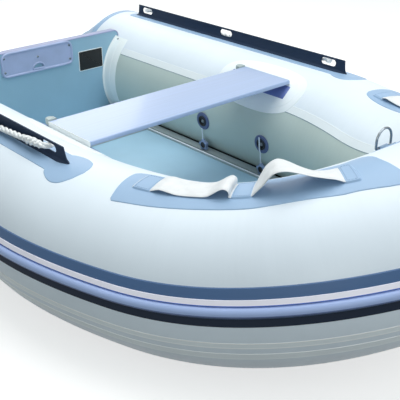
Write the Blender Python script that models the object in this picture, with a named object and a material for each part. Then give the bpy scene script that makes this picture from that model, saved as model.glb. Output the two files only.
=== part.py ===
"""Inflatable dinghy: two air tubes joined at the bow, hard transom, floor boards and a sliding bench seat.

Metres, +Z up, bow towards +X, port side towards +Y. The tubes rest on Z = 0.
The origin is under the middle of the boat. Every skin, patch and strake lies on the facets of the
tube it is bonded to, with a small named gap between neighbouring solids.
"""
import math

import bmesh
import bpy
import numpy as np
from mathutils import Matrix, Vector

# Fit between neighbouring solids
GAP = 0.0003

# Air tubes: one per side, straight aft and bent round to the centre plane at the bow
TUBE_R = 0.210
TUBE_SIDES = 48
TUBE_SPAN = 0.506
STERN_REACH = 0.150
BEND_REACH = 0.951
BOW_REACH = 1.726
BEND_LEAD = 0.220
BOW_LEAD = 0.322
SHEER_REACH = 1.258
SHEER_RISE = 0.128
BEND_STEPS = 14

# Stern cones
CONE_LEN = 0.270
CONE_END_R = 0.085
CONE_ROUND = 0.030

# Rub strake round the outside, by height angle on the tube (degrees from straight outboard)
BAND_TOP = 22.9
BAND_LOW = -1.4
BAND_T = 0.0020
STRIPE_TOP = 16.1
STRIPE_LOW = 12.0
STRIPE_T = 0.0012
STRIPE_SPLIT = 0.1
BEAD_LOW = 4.2
BEAD_PROUD = 0.0130
BEAD_FOOT = 0.001

# Transom board
BOARD_T = 0.027
BOARD_TOP = 0.3984
BOARD_LOW = 0.036
BOARD_HALF = 0.374
BOARD_CORNER = 0.023
TRIM_T = 0.0030
TRIM_LEG = 0.001
JOIN_WIDTH = 0.070
JOIN_FLANGE = 0.011
JOIN_T = 0.0022
JOIN_TOP_ANGLE = 131.0
JOIN_LOW_ANGLE = 232.0

# Motor pads and plate on the transom
PAD_HALF = 0.152
PAD_TOP = 0.3970
PAD_LOW = 0.304
PAD_ROUND = 0.027
PAD_LOW_ROUND = 0.018
PAD_T = 0.0070
PAD_RIM = 0.0075
PAD_SINK = 0.0025
EYE_HALF = 0.021
EYE_LOW = 0.0145
EYE_TALL = 0.0155
OUTER_PAD_LOW = 0.190
PLATE_Y0 = 0.186
PLATE_Y1 = 0.290
PLATE_Z0 = 0.266
PLATE_Z1 = 0.340
PLATE_T = 0.0020
DRAIN_Y = -0.250
DRAIN_Z = 0.120
DRAIN_R = 0.0160
DRAIN_FLANGE_R = 0.027
DRAIN_FLANGE_T = 0.0035
DRAIN_CLEAR = 0.0005

# Floor
FLOOR_TOP = 0.080
FLOOR_T = 0.012
FLOOR_HALF = 0.276
FLOOR_AFT = 0.006
FLOOR_JOINTS = (0.275, 0.975)
FLOOR_FORE = 1.360
FLOOR_NOSE = 0.93
FLOOR_ROUND = 2.4
JOINER_W = 0.034
JOINER_PROUD = 0.0025
STRINGER_AFT = 0.080
STRINGER_FORE = 0.960
STRINGER_BEAD = 0.008
STRINGER_BEAD_SHARE = 0.11
STRINGER_GROOVE_SHARE = 0.22
STRINGER_GROOVE = 0.003
STRINGER_SHELF = 0.004
JOINT_HALF = 0.004

# Bottom fabric
HULL_T = 0.0020
HULL_LAP_ANGLE = -100.0
HULL_EDGE_ANGLE = -122.0
HULL_TIP_HALF = 0.060

# Bench seat
SEAT_AFT = 0.707
SEAT_WIDTH = 0.205
SEAT_TOP = 0.4028
SEAT_HALF = 0.388
SEAT_T = 0.0130
SEAT_EDGE = 0.004
SEAT_CAP_T = 0.0016
SEAT_CAP_DEEP = 0.0171
TAB_WIDTH = 0.028
TAB_REACH = 0.025
TAB_T = 0.0120
TAB_INSET = 0.001
TAB_DROP = 0.0010

# Seat holder flap and the oval patch under it
SEAT_PAD_MID = SEAT_AFT + 0.093
SEAT_PAD_HALF_L = 0.190
SEAT_PAD_HALF_W = 0.088
SEAT_PAD_ANGLE = 131.0
SKIN_T = 0.0015
TRIM_DEPTH = 0.30
PATCH_MARGIN = 0.02
PATCH_SPREAD = 28.0
FLAP_AFT = SEAT_AFT - 0.052
FLAP_FORE = SEAT_AFT + SEAT_WIDTH
FLAP_TOP_ANGLE = 125.0
FLAP_LOW_ANGLE = 139.0
FLAP_T = 0.0030

# Rope rail on top of each tube
RAIL_ANGLE = 84.2
RAIL_AFT = -0.062
RAIL_FORE = 1.034
RAIL_SWEEP = 0.018
RAIL_TALL = 0.0405
RAIL_T = 0.0040
RAIL_FOOT = 0.026
RAIL_FOOT_T = 0.0030
RAIL_FILLET = 0.007
SLOT_MIDS = (-0.005, 0.461, 0.950)
SLOT_L = 0.062
SLOT_TALL = 0.022
SLOT_RISE = 0.023
RAIL_PAD_OUTBOARD = 0.046
RAIL_PAD_INBOARD = 0.034
RAIL_PAD_LEAF = 0.064
RAIL_PAD_END = 0.060
RAIL_PAD_SPREAD = 24.0

# Life line and its route beside the port rail: reach from the transom, outboard of the fin, above its foot
LINE_R = 0.0085
LINE_POINTS = 38
LINE_KNOTS = (
    (-0.010, -0.0060, 0.0230), (-0.006, 0.0040, 0.0235), (0.010, 0.0150, 0.0245), (0.060, 0.0180, 0.0250),
    (0.135, 0.0185, 0.0190), (0.225, 0.0195, 0.0130), (0.335, 0.0200, 0.0080), (0.461, 0.0200, 0.0072),
    (0.595, 0.0200, 0.0080), (0.705, 0.0195, 0.0130), (0.805, 0.0185, 0.0190), (0.885, 0.0180, 0.0250),
    (0.935, 0.0150, 0.0245), (0.951, 0.0040, 0.0235), (0.955, -0.0060, 0.0230),
)

# Handle patch at each bow quarter, its edges in plan as (reach, half breadth)
HANDLE_OUTBOARD = (
    (1.226, 0.5455), (1.299, 0.513), (1.356, 0.485), (1.420, 0.453), (1.501, 0.411), (1.542, 0.384),
    (1.615, 0.326), (1.664, 0.288), (1.690, 0.259), (1.732, 0.215), (1.746, 0.196), (1.757, 0.178),
)
HANDLE_INBOARD = (
    (1.218, 0.539), (1.197, 0.494), (1.182, 0.446), (1.186, 0.430), (1.203, 0.416), (1.232, 0.401),
    (1.304, 0.372), (1.367, 0.345), (1.432, 0.309), (1.484, 0.276), (1.532, 0.243), (1.561, 0.216),
    (1.586, 0.193), (1.599, 0.163), (1.614, 0.146), (1.636, 0.146), (1.663, 0.156), (1.720, 0.169),
    (1.750, 0.174),
)
HANDLE_PATCH_ANGLES = (56.0, 113.0)

# Webbing over the patch: height of its outboard and inboard edges along the tube, flat where it is sewn
HANDLE_LIFTS = (
    (1.212, 0.0, 0.0), (1.255, 0.0, 0.0), (1.275, 0.004, 0.003), (1.297, 0.009, 0.006), (1.320, 0.006, 0.005),
    (1.345, 0.003, 0.004), (1.385, 0.002, 0.004), (1.420, 0.003, 0.006), (1.442, 0.010, 0.011),
    (1.460, 0.019, 0.018), (1.472, 0.018, 0.0175), (1.481, 0.009, 0.009), (1.489, 0.0, 0.0), (1.515, 0.0, 0.0),
    (1.527, 0.011, 0.018), (1.541, 0.027, 0.037), (1.556, 0.045, 0.047), (1.568, 0.054, 0.048),
    (1.583, 0.053, 0.036), (1.600, 0.043, 0.020), (1.617, 0.030, 0.006), (1.633, 0.020, 0.001),
    (1.646, 0.012, 0.0), (1.658, 0.001, 0.0), (1.676, 0.0, 0.0),
)
HANDLE_STEPS = 38
HANDLE_W = 0.058
HANDLE_T = 0.0025
HANDLE_ANGLE = 88.5
HANDLE_SEAT = 0.0010

# Bow ring
RING_ANGLE = 140.0
RING_PAD_R = 0.075
RING_W = 0.056
RING_TALL = 0.048
RING_ROD = 0.0030
RING_BAR_RISE = 0.0090
RING_SIDES = 10
KEEPER_HALF = 0.016
KEEPER_T = 0.0020
KEEPER_REACH = 0.026
KEEPER_CLEAR = 0.0006
KEEPER_EASE = 0.001

# Valves
VALVE_REACHES = (0.593, 0.882)
VALVE_ANGLE = 183.75
VALVE_R = 0.032
VALVE_T = 0.0035
VALVE_RING_R = 0.0185
VALVE_MOUTH_R = 0.0140
VALVE_RING_T = 0.0060
CAP_R = 0.0165
CAP_T = 0.0110
CAP_LUG = 0.0035
CAP_LUGS = 6
CAP_DROP = 0.0720
LEASH_W = 0.0050
LEASH_T = 0.0014
LEASH_REST = 0.0013
ROUND_SIDES = 20

BEAD_R = TUBE_R + 2 * GAP + BAND_T + BEAD_PROUD
STRAKE_REACH = (BEAD_R + GAP) * math.cos(math.radians(0.5 * (BEAD_LOW + STRIPE_LOW)))
FORE_REACH = BOW_REACH + STRAKE_REACH
AFT_REACH = STERN_REACH + CONE_LEN
TRANSOM_X = 0.5 * (AFT_REACH - FORE_REACH)
RIDGE = 360.0 / TUBE_SIDES


def material(name, colour, roughness, metallic=0.0):
    mat = bpy.data.materials.new(name)
    mat.use_nodes = True
    shader = mat.node_tree.nodes["Principled BSDF"]
    shader.inputs["Base Color"].default_value = (*colour, 1.0)
    shader.inputs["Roughness"].default_value = roughness
    shader.inputs["Metallic"].default_value = metallic
    mat.diffuse_color = (*colour, 1.0)
    return mat


def make_object(name, mesh, mat, smooth=True):
    mesh.materials.append(mat)
    obj = bpy.data.objects.new(name, mesh)
    bpy.context.scene.collection.objects.link(obj)
    if smooth:
        mesh.shade_smooth()
        mesh.set_sharp_from_angle(angle=math.radians(32))
    return obj


def finish_bmesh(name, bm, mat, smooth=True):
    bmesh.ops.recalc_face_normals(bm, faces=bm.faces)
    mesh = bpy.data.meshes.new(name)
    bm.to_mesh(mesh)
    bm.free()
    return make_object(name, mesh, mat, smooth)


def loft(name, rings, mat, rising=None, flips=None):
    """Close a row of like rings into one solid. rising says, for each ring edge, which way its
    quads are split, so that neighbouring shells on the same tube facets stay parallel."""
    bm = bmesh.new()
    rows = [[bm.verts.new(p) for p in ring] for ring in rings]
    count = len(rings[0])
    for i in range(len(rows) - 1):
        for j in range(count):
            k = (j + 1) % count
            a, b, c, d = rows[i][j], rows[i][k], rows[i + 1][k], rows[i + 1][j]
            up = rising[j] if rising else True
            if flips and flips[i]:
                up = not up
            if up:
                bm.faces.new((a, b, c))
                bm.faces.new((a, c, d))
            else:
                bm.faces.new((a, b, d))
                bm.faces.new((b, c, d))
    bm.faces.new(rows[0])
    bm.faces.new(rows[-1])
    return finish_bmesh(name, bm, mat)


def prism(name, outline, depth, mat, matrix=None, smooth=False):
    """Extrude a flat outline (points in local XY) along local +Z by depth."""
    bm = bmesh.new()
    low = [bm.verts.new((x, y, 0.0)) for x, y in outline]
    top = [bm.verts.new((x, y, depth)) for x, y in outline]
    count = len(outline)
    for j in range(count):
        k = (j + 1) % count
        bm.faces.new((low[j], low[k], top[k], top[j]))
    bm.faces.new(low)
    bm.faces.new(top)
    if matrix is not None:
        bmesh.ops.transform(bm, matrix=matrix, verts=bm.verts)
    return finish_bmesh(name, bm, mat, smooth)


def revolve(name, profile, sides, mat, matrix):
    """Turn a profile of (radius, height) points round local Z. It starts and ends on the axis."""
    bm = bmesh.new()
    rows = []
    for r, h in profile:
        if r == 0.0:
            rows.append([bm.verts.new((0.0, 0.0, h))])
        else:
            turn = [2 * math.pi * k / sides for k in range(sides)]
            rows.append([bm.verts.new((r * math.cos(t), r * math.sin(t), h)) for t in turn])
    for a, b in zip(rows, rows[1:]):
        for j in range(sides):
            k = (j + 1) % sides
            quad = [a[j % len(a)], a[k % len(a)], b[k % len(b)], b[j % len(b)]]
            bm.faces.new(list(dict.fromkeys(quad)))
    bmesh.ops.transform(bm, matrix=matrix, verts=bm.verts)
    return finish_bmesh(name, bm, mat)


def axes_matrix(origin, x_axis, y_axis):
    x = Vector(x_axis).normalized()
    z = x.cross(Vector(y_axis)).normalized()
    y = z.cross(x)
    rows = Matrix((x, y, z)).transposed().to_4x4()
    return Matrix.Translation(Vector(origin)) @ rows


def cutter(obj):
    obj.hide_render = True
    obj.display_type = "WIRE"
    return obj


def boolean(obj, tool, operation):
    mod = obj.modifiers.new(tool.name, "BOOLEAN")
    mod.operation = operation
    mod.solver = "EXACT"
    mod.object = tool


def arc_points(cx, cy, r, start, end, steps):
    turns = [math.radians(start + (end - start) * k / steps) for k in range(steps + 1)]
    return [(cx + r * math.cos(t), cy + r * math.sin(t)) for t in turns]


# The tube's centre line and its facets

def centre_point(reach, half):
    over = max(0.0, reach - SHEER_REACH) / (BOW_REACH - SHEER_REACH)
    return Vector((TRANSOM_X + reach, half, TUBE_R + SHEER_RISE * over * over))


def bend_point(t):
    reaches = (BEND_REACH, BEND_REACH + BEND_LEAD, BOW_REACH, BOW_REACH)
    halves = (TUBE_SPAN, TUBE_SPAN, BOW_LEAD, 0.0)
    weights = ((1 - t) ** 3, 3 * (1 - t) ** 2 * t, 3 * (1 - t) * t * t, t ** 3)
    reach = sum(w * r for w, r in zip(weights, reaches))
    half = sum(w * h for w, h in zip(weights, halves))
    return centre_point(reach, half)


def frame_at(point, tangent):
    out = tangent.cross(Vector((0, 0, 1))).normalized() * -1
    up = out.cross(tangent).normalized()
    if up.z < 0:
        up = -up
    return point, out, up


def half_frames():
    """Stations of the port tube from the stern cone to the centre plane: point, outboard, up."""
    straight = Vector((1, 0, 0))
    frames = [frame_at(centre_point(-STERN_REACH, TUBE_SPAN), straight)]
    frames.append(frame_at(centre_point(BEND_REACH, TUBE_SPAN), straight))
    step = 0.001
    for k in range(1, BEND_STEPS + 1):
        t = k / BEND_STEPS
        ahead = bend_point(min(1.0, t + step)) - bend_point(t - step)
        if k == BEND_STEPS:
            ahead = Vector((0, -1, 0))
        frames.append(frame_at(bend_point(t), ahead))
    return frames


FRAMES = half_frames()


def straight_frame(reach):
    return frame_at(centre_point(reach, TUBE_SPAN), Vector((1, 0, 0)))


def facet_radius(degrees):
    """Distance from the centre line to the flat facet at this angle."""
    half = 0.5 * RIDGE
    within = (degrees / RIDGE - math.floor(degrees / RIDGE)) * RIDGE - half
    return TUBE_R * math.cos(math.radians(half)) / math.cos(math.radians(within))


def on_tube(frame, degrees, proud=0.0, side=1):
    point, out, up = frame
    r = facet_radius(degrees) + proud
    a = math.radians(degrees)
    p = point + out * (r * math.cos(a)) + up * (r * math.sin(a))
    return Vector((p.x, p.y * side, p.z))


def ridge_angles(low, high):
    """low, each facet ridge between, and high."""
    first = math.floor(low / RIDGE) + 1
    last = math.ceil(high / RIDGE) - 1
    inner = [k * RIDGE for k in range(first, last + 1)]
    inner = [a for a in inner if a - low > 0.3 and high - a > 0.3]
    return [low, *inner, high]


def shell_ring(angles, inner, outer):
    """Angle and offset pairs of a thin skin: along its outside, then back along its inside."""
    return [(a, outer) for a in angles] + [(a, inner) for a in reversed(angles)]


def ring_splits(ring):
    return [ring[(j + 1) % len(ring)][0] >= ring[j][0] for j in range(len(ring))]


def sweep(name, frames, ring, mat, side=1):
    """Carry a ring of (angle, offset) points along some of the tube's stations."""
    rings = [[on_tube(f, a, off, side) for a, off in ring] for f in frames]
    return loft(name, rings, mat, ring_splits(ring))


def sweep_round_bow(name, frames, ring, mat):
    """The same from the port stern round the bow to the starboard stern, as one solid."""
    port = [[on_tube(f, a, off) for a, off in ring] for f in frames]
    starboard = [[Vector((p.x, -p.y, p.z)) for p in row] for row in reversed(port[:-1])]
    flips = [False] * (len(port) - 1) + [True] * len(starboard)
    return loft(name, port + starboard, mat, ring_splits(ring), flips)


def surface_point(reach, degrees, proud, side=1):
    """A point on the tube's facets at a station between the built ones, by its centre-line X."""
    x = TRANSOM_X + reach
    for a, b in zip(FRAMES, FRAMES[1:]):
        if x <= b[0].x + 1e-9:
            t = (x - a[0].x) / (b[0].x - a[0].x)
            return on_tube(a, degrees, proud, side).lerp(on_tube(b, degrees, proud, side), t)
    return on_tube(FRAMES[-1], degrees, proud, side)


def side_name(side):
    return "port" if side > 0 else "starboard"


def build_tubes(mats):
    angles = [k * RIDGE for k in range(TUBE_SIDES)]
    for side in (1, -1):
        frames = list(FRAMES)
        point, out, up = frames[-1]
        frames[-1] = (point + Vector((0, 0.5 * GAP, 0)), out, up)
        sweep(f"air_tube_{side_name(side)}", frames, [(a, 0.0) for a in angles], mats["tube"], side)
        build_cone(side, angles, mats)


def build_cone(side, angles, mats):
    """A straight taper with a rounded end, on the tube's own sides."""
    slope = (TUBE_R - CONE_END_R) / (CONE_LEN - CONE_ROUND)
    taper = CONE_LEN - CONE_ROUND
    profile = [(GAP, TUBE_R - slope * GAP), (taper, CONE_END_R)]
    profile += [(taper + CONE_ROUND * math.sin(math.radians(a)),
                 CONE_END_R - CONE_ROUND * (1 - math.cos(math.radians(a)))) for a in (30, 60, 90)]
    rings = []
    for back, r in profile:
        point, out, up = straight_frame(-STERN_REACH - back)
        turn = [math.radians(a) for a in angles]
        ring = [point + out * (r * math.cos(t)) + up * (r * math.sin(t)) for t in turn]
        rings.append([Vector((p.x, p.y * side, p.z)) for p in ring])
    loft(f"stern_cone_{side_name(side)}", rings, mats["accent"])


def build_strake(mats):
    """A wide band, a pale stripe on it and a half-round bead below the stripe."""
    frames = FRAMES
    band_out = GAP + BAND_T
    on_band = band_out + GAP
    band = shell_ring(ridge_angles(BAND_LOW, BAND_TOP), GAP, band_out)
    sweep_round_bow("strake_band", frames, band, mats["navy"])
    stripe = shell_ring(ridge_angles(STRIPE_LOW + STRIPE_SPLIT, STRIPE_TOP), on_band, on_band + STRIPE_T)
    sweep_round_bow("strake_stripe", frames, stripe, mats["stripe"])
    high = STRIPE_LOW - STRIPE_SPLIT
    mid = 0.5 * (BEAD_LOW + high)
    half = 0.5 * (high - BEAD_LOW)
    crown = []
    for turn in (0, 25, 50, 90, 130, 155, 180):
        t = math.radians(turn)
        crown.append((mid - half * math.cos(t), on_band + BEAD_FOOT + (BEAD_PROUD - BEAD_FOOT) * math.sin(t)))
    foot = [(a, on_band) for a in reversed(ridge_angles(BEAD_LOW, high))]
    sweep_round_bow("strake_bead", frames, crown + foot, mats["bead"])


def transom_edge(inset):
    """Top edge of the transom, starboard to port, as (y, z), with its rounded corners."""
    half = BOARD_HALF - inset
    top = BOARD_TOP - inset
    r = BOARD_CORNER - inset
    tube_z = TUBE_R + math.sqrt(TUBE_R ** 2 - (TUBE_SPAN - BOARD_HALF) ** 2)
    foot = tube_z + TRIM_LEG
    left = arc_points(-half + r, top - r, r, 180, 90, 5)
    right = arc_points(half - r, top - r, r, 90, 0, 5)
    return [(-half, foot), *left, *right, (half, foot)]


def build_transom(mats):
    yz = axes_matrix((TRANSOM_X - BOARD_T, 0, 0), (0, 1, 0), (0, 0, 1))
    top = transom_edge(TRIM_T + GAP)
    half = BOARD_HALF - TRIM_T - GAP
    angles = [a for a in (k * RIDGE for k in range(TUBE_SIDES)) if 130 < a < 250]
    side_curve = []
    for a in angles:
        y = TUBE_SPAN + (TUBE_R + 2 * GAP) * math.cos(math.radians(a))
        z = TUBE_R + (TUBE_R + 2 * GAP) * math.sin(math.radians(a))
        if y < half - 0.001 or z < TUBE_R:
            if z > BOARD_LOW + 0.002:
                side_curve.append((y, z))
    low_y = TUBE_SPAN - math.sqrt((TUBE_R + 2 * GAP) ** 2 - (TUBE_R - BOARD_LOW) ** 2)
    right = [*side_curve, (low_y, BOARD_LOW)]
    left = [(-y, z) for y, z in reversed(right)]
    board = prism("transom_board", [*top, *right, *left], BOARD_T, mats["board"], yz)
    over = 0.02
    bore = [(0, -over), (DRAIN_R, -over), (DRAIN_R, BOARD_T + over), (0, BOARD_T + over)]
    hole = revolve("drain_hole", bore, ROUND_SIDES, mats["board"], drain_axes())
    boolean(board, cutter(hole), "DIFFERENCE")
    outer = transom_edge(0.0)
    inner = transom_edge(TRIM_T)
    prism("transom_trim", outer + list(reversed(inner)), BOARD_T, mats["trim"], yz)
    for side in (1, -1):
        for label, start, way in (("fore", TRANSOM_X, 1), ("aft", TRANSOM_X - BOARD_T, -1)):
            build_join_strip(f"transom_strip_{label}_{side_name(side)}", start, way, side, mats)


def drain_axes():
    return axes_matrix((TRANSOM_X - BOARD_T, DRAIN_Y, DRAIN_Z), (0, 1, 0), (0, 0, 1))


def build_join_strip(name, start, way, side, mats):
    """An angle strip bonded to the tube wall and to one face of the transom."""
    foot = start + way * GAP
    section = [(foot, GAP), (foot + way * JOIN_WIDTH, GAP), (foot + way * JOIN_WIDTH, GAP + JOIN_T),
               (foot + way * JOIN_T, GAP + JOIN_T), (foot + way * JOIN_T, JOIN_FLANGE), (foot, JOIN_FLANGE)]
    point, out, up = straight_frame(0.0)
    rings = []
    for a in ridge_angles(JOIN_TOP_ANGLE, JOIN_LOW_ANGLE):
        ring = []
        for x, proud in section:
            r = facet_radius(a) + proud
            p = point + out * (r * math.cos(math.radians(a))) + up * (r * math.sin(math.radians(a)))
            ring.append(Vector((x, p.y * side, p.z)))
        rings.append(ring)
    loft(name, rings, mats["strip"])


def pad_outline(low):
    """Plate with rounded corners, as (y, z)."""
    r = PAD_ROUND
    q = PAD_LOW_ROUND
    left = arc_points(-PAD_HALF + q, low + q, q, 270, 180, 4)
    left += arc_points(-PAD_HALF + r, PAD_TOP - r, r, 180, 90, 5)
    return left + [(-y, z) for y, z in reversed(left)]


def build_pad(name, outline, face_x, way, mats):
    """A moulded plate with a raised rim, on one face of the transom."""
    bm = bmesh.new()
    base = [bm.verts.new((face_x + way * GAP, y, z)) for y, z in outline]
    face = bm.faces.new(base)
    grown = bmesh.ops.extrude_face_region(bm, geom=[face])
    tops = [v for v in grown["geom"] if isinstance(v, bmesh.types.BMVert)]
    bmesh.ops.translate(bm, verts=tops, vec=(way * PAD_T, 0, 0))
    bm.faces.ensure_lookup_table()
    lid = next(f for f in bm.faces if all(v in tops for v in f.verts))
    bmesh.ops.recalc_face_normals(bm, faces=bm.faces)
    bmesh.ops.inset_region(bm, faces=[lid], thickness=PAD_RIM, depth=0.0)
    bmesh.ops.translate(bm, verts=list(lid.verts), vec=(-way * PAD_SINK, 0, 0))
    return finish_bmesh(name, bm, mats["pad"], smooth=False)


def eye_outline():
    """D-shaped eye above the inner pad's lower rim, as (y, z)."""
    foot = PAD_LOW + EYE_LOW
    return [(EYE_HALF * y, foot + EYE_TALL * z) for y, z in arc_points(0, 0, 1, 0, 180, 8)]


def build_transom_fittings(mats):
    pad = build_pad("motor_pad_inner", pad_outline(PAD_LOW), TRANSOM_X, 1, mats)
    yz = axes_matrix((TRANSOM_X + GAP, 0, 0), (0, 1, 0), (0, 0, 1))
    eye = prism("motor_pad_eye", eye_outline(), 4 * PAD_T, mats["pad"], yz @ Matrix.Translation((0, 0, -PAD_T)))
    boolean(pad, cutter(eye), "DIFFERENCE")
    build_pad("motor_pad_outer", pad_outline(OUTER_PAD_LOW), TRANSOM_X - BOARD_T, -1, mats)
    plate = [(PLATE_Y0, PLATE_Z0), (PLATE_Y1, PLATE_Z0), (PLATE_Y1, PLATE_Z1), (PLATE_Y0, PLATE_Z1)]
    prism("blank_plate", plate, PLATE_T, mats["black"], yz)
    barrel = DRAIN_R - DRAIN_CLEAR
    flange = DRAIN_FLANGE_R
    inside = BOARD_T + GAP
    t = DRAIN_FLANGE_T
    knob = inside + 3 * t
    profile = [(0, -GAP - t), (flange, -GAP - t), (flange, -GAP), (barrel, -GAP), (barrel, inside)]
    profile += [(flange, inside), (flange, inside + 0.6 * t), (0.5 * flange, inside + t), (0.45 * flange, knob)]
    profile += [(0, knob)]
    revolve("drain_fitting", profile, ROUND_SIDES, mats["black"], drain_axes())


def tube_inner_y(z):
    """Half width between the tubes at this height, where they are straight."""
    dz = z - TUBE_R
    return TUBE_SPAN - math.sqrt(TUBE_R ** 2 - dz * dz)


def floor_half_at(reach):
    """Half width of the boards: full where the tubes are straight, rounded in towards the bow."""
    if reach <= STRINGER_FORE:
        return FLOOR_HALF
    t = (reach - STRINGER_FORE) / (FLOOR_FORE - STRINGER_FORE)
    return FLOOR_HALF * math.sqrt(max(0.0, 1 - (FLOOR_NOSE * t) ** FLOOR_ROUND))


def build_floor(mats):
    low = FLOOR_TOP - FLOOR_T
    aft_joint, fore_joint = FLOOR_JOINTS
    joints = (FLOOR_AFT, aft_joint, fore_joint, FLOOR_FORE)
    names = ("floor_board_aft", "floor_board_middle", "floor_board_fore")
    for name, start, end in zip(names, joints, joints[1:]):
        a = start + (0.0 if start == FLOOR_AFT else JOINT_HALF)
        b = end - (0.0 if end == FLOOR_FORE else JOINT_HALF)
        reaches = [a, b]
        if b > STRINGER_FORE:
            reaches = [a, *(a + (b - a) * math.sin(math.radians(t)) for t in (20, 38, 54, 67, 78, 90))]
        right = [(TRANSOM_X + r, floor_half_at(r)) for r in reaches]
        left = [(x, -y) for x, y in reversed(right)]
        prism(name, right + left, FLOOR_T, mats["floor"], Matrix.Translation((0, 0, low)))
    for name, mid in zip(("floor_joiner_aft", "floor_joiner_fore"), FLOOR_JOINTS):
        build_joiner(name, mid, mats)
    for side in (1, -1):
        build_stringer(side, mats)


def build_joiner(name, mid, mats):
    """An H section between two boards: its web fills the joint and its flanges lap the boards."""
    half = 0.5 * JOINER_W
    web = JOINT_HALF - GAP
    low = FLOOR_TOP - FLOOR_T
    z = [low - GAP - JOINER_PROUD, low - GAP, FLOOR_TOP + GAP, FLOOR_TOP + GAP + JOINER_PROUD]
    right = [(half, z[0]), (half, z[1]), (web, z[1]), (web, z[2]), (half, z[2]), (half, z[3])]
    section = right + [(-x, y) for x, y in reversed(right)]
    reach = floor_half_at(mid + half) - 2 * GAP
    matrix = axes_matrix((TRANSOM_X + mid, reach, 0), (1, 0, 0), (0, 0, 1))
    prism(name, section, 2 * reach, mats["alloy"], matrix)


def build_stringer(side, mats):
    """Side extrusion: bead and groove beside the boards, then a shelf out to the tube."""
    low = FLOOR_TOP - FLOOR_T
    shelf = FLOOR_TOP + STRINGER_SHELF
    groove = FLOOR_TOP - STRINGER_GROOVE
    y0 = FLOOR_HALF + GAP
    y_top = tube_inner_y(shelf) - 2 * GAP
    y_low = tube_inner_y(low) - 2 * GAP
    y1 = y0 + STRINGER_BEAD_SHARE * (y_top - y0)
    y2 = y1 + STRINGER_GROOVE_SHARE * (y_top - y0)
    section = [(y0, low), (y0, FLOOR_TOP + STRINGER_BEAD), (y1, FLOOR_TOP + STRINGER_BEAD), (y1, groove),
               (y2, groove), (y2, shelf), (y_top, shelf), (y_low, low)]
    start = TRANSOM_X + STRINGER_AFT
    length = STRINGER_FORE - STRINGER_AFT
    bm = bmesh.new()
    ends = [[bm.verts.new((x, y * side, z)) for y, z in section] for x in (start, start + length)]
    count = len(section)
    for j in range(count):
        k = (j + 1) % count
        bm.faces.new((ends[0][j], ends[0][k], ends[1][k], ends[1][j]))
    bm.faces.new(ends[0])
    bm.faces.new(ends[1])
    finish_bmesh(f"floor_stringer_{side_name(side)}", bm, mats["alloy"], smooth=False)


def build_hull_skin(mats):
    """Bottom fabric: lapped under both tubes, flat between them and rising with them at the bow."""
    angles = ridge_angles(HULL_EDGE_ANGLE, HULL_LAP_ANGLE)
    around = [*angles, *reversed(angles)] * 2
    rings = []
    for frame in [straight_frame(0.0), *FRAMES[1:]]:
        if frame[0].y + TUBE_R * math.cos(math.radians(HULL_EDGE_ANGLE)) < HULL_TIP_HALF:
            break
        outside = [on_tube(frame, a, GAP + HULL_T) for a in angles]
        inside = [on_tube(frame, a, GAP) for a in reversed(angles)]
        half = outside + inside
        mirrored = [Vector((p.x, -p.y, p.z)) for p in reversed(half)]
        rings.append(half + mirrored)
    loft("hull_skin", rings, mats["hull"], ring_splits([(a, 0.0) for a in around]))


def build_seat(mats):
    """Board with eased edges, deeper moulded end caps, and the tab at each aft corner."""
    middle = Vector((TRANSOM_X + SEAT_AFT + 0.5 * SEAT_WIDTH, 0, SEAT_TOP))
    board_half = SEAT_HALF - SEAT_CAP_T - GAP
    board = prism("seat_board", seat_section(SEAT_T), 2 * board_half, mats["seat"],
                  axes_matrix((0, board_half, 0), (1, 0, 0), (0, 0, 1)))
    board.location = middle
    for side in (1, -1):
        outer = SEAT_HALF if side > 0 else SEAT_CAP_T - SEAT_HALF
        end = prism(f"seat_end_{side_name(side)}", seat_section(SEAT_CAP_DEEP), SEAT_CAP_T, mats["cap"],
                    axes_matrix((0, outer, 0), (1, 0, 0), (0, 0, 1)))
        end.location = middle
        tab = prism(f"seat_tab_{side_name(side)}", tab_outline(side), TAB_T, mats["cap"],
                    Matrix.Translation((0, 0, -TAB_DROP - TAB_T)))
        tab.location = middle


def seat_section(deep):
    """Section of the seat from its top edge downwards, as (along the boat, up)."""
    half = 0.5 * SEAT_WIDTH
    e = SEAT_EDGE
    right = [(half - e, -deep), (half, e - deep), (half, -e), (half - e, 0.0)]
    return right + [(-x, z) for x, z in reversed(right)]


def tab_outline(side):
    """Round-ended tab behind the seat's aft edge, near its end."""
    r = 0.5 * TAB_WIDTH
    root = -0.5 * SEAT_WIDTH - GAP
    mid = SEAT_HALF - TAB_INSET - r
    round_x = root - TAB_REACH + r
    outline = [(root, mid - r), (root, mid + r), *arc_points(round_x, mid, r, 90, 270, 8)]
    return [(x, y * side) for x, y in outline]


def build_patch(name, frames, angles, outline, direction, origin, mat, side):
    """A skin on the tube's facets, trimmed to an outline seen along direction."""
    skin = sweep(name, frames, shell_ring(ridge_angles(*angles), GAP, GAP + SKIN_T), mat, side)
    z = Vector(direction).normalized()
    x = Vector((1, 0, 0)) if abs(z.x) < 0.9 else Vector((0, 1, 0))
    y = z.cross(x).normalized()
    x = y.cross(z)
    matrix = axes_matrix(Vector(origin) - z * (0.5 * TRIM_DEPTH), x, y)
    tool = prism(f"{name}_trim", outline, TRIM_DEPTH, mat, matrix)
    boolean(skin, cutter(tool), "INTERSECT")


def oval(half_l, half_w, steps=28, power=2.4):
    pts = []
    for k in range(steps):
        t = 2 * math.pi * k / steps
        c = math.cos(t)
        s = math.sin(t)
        x = half_l * math.copysign(abs(c) ** (2 / power), c)
        y = half_w * math.copysign(abs(s) ** (2 / power), s)
        pts.append((x, y))
    return pts


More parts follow.
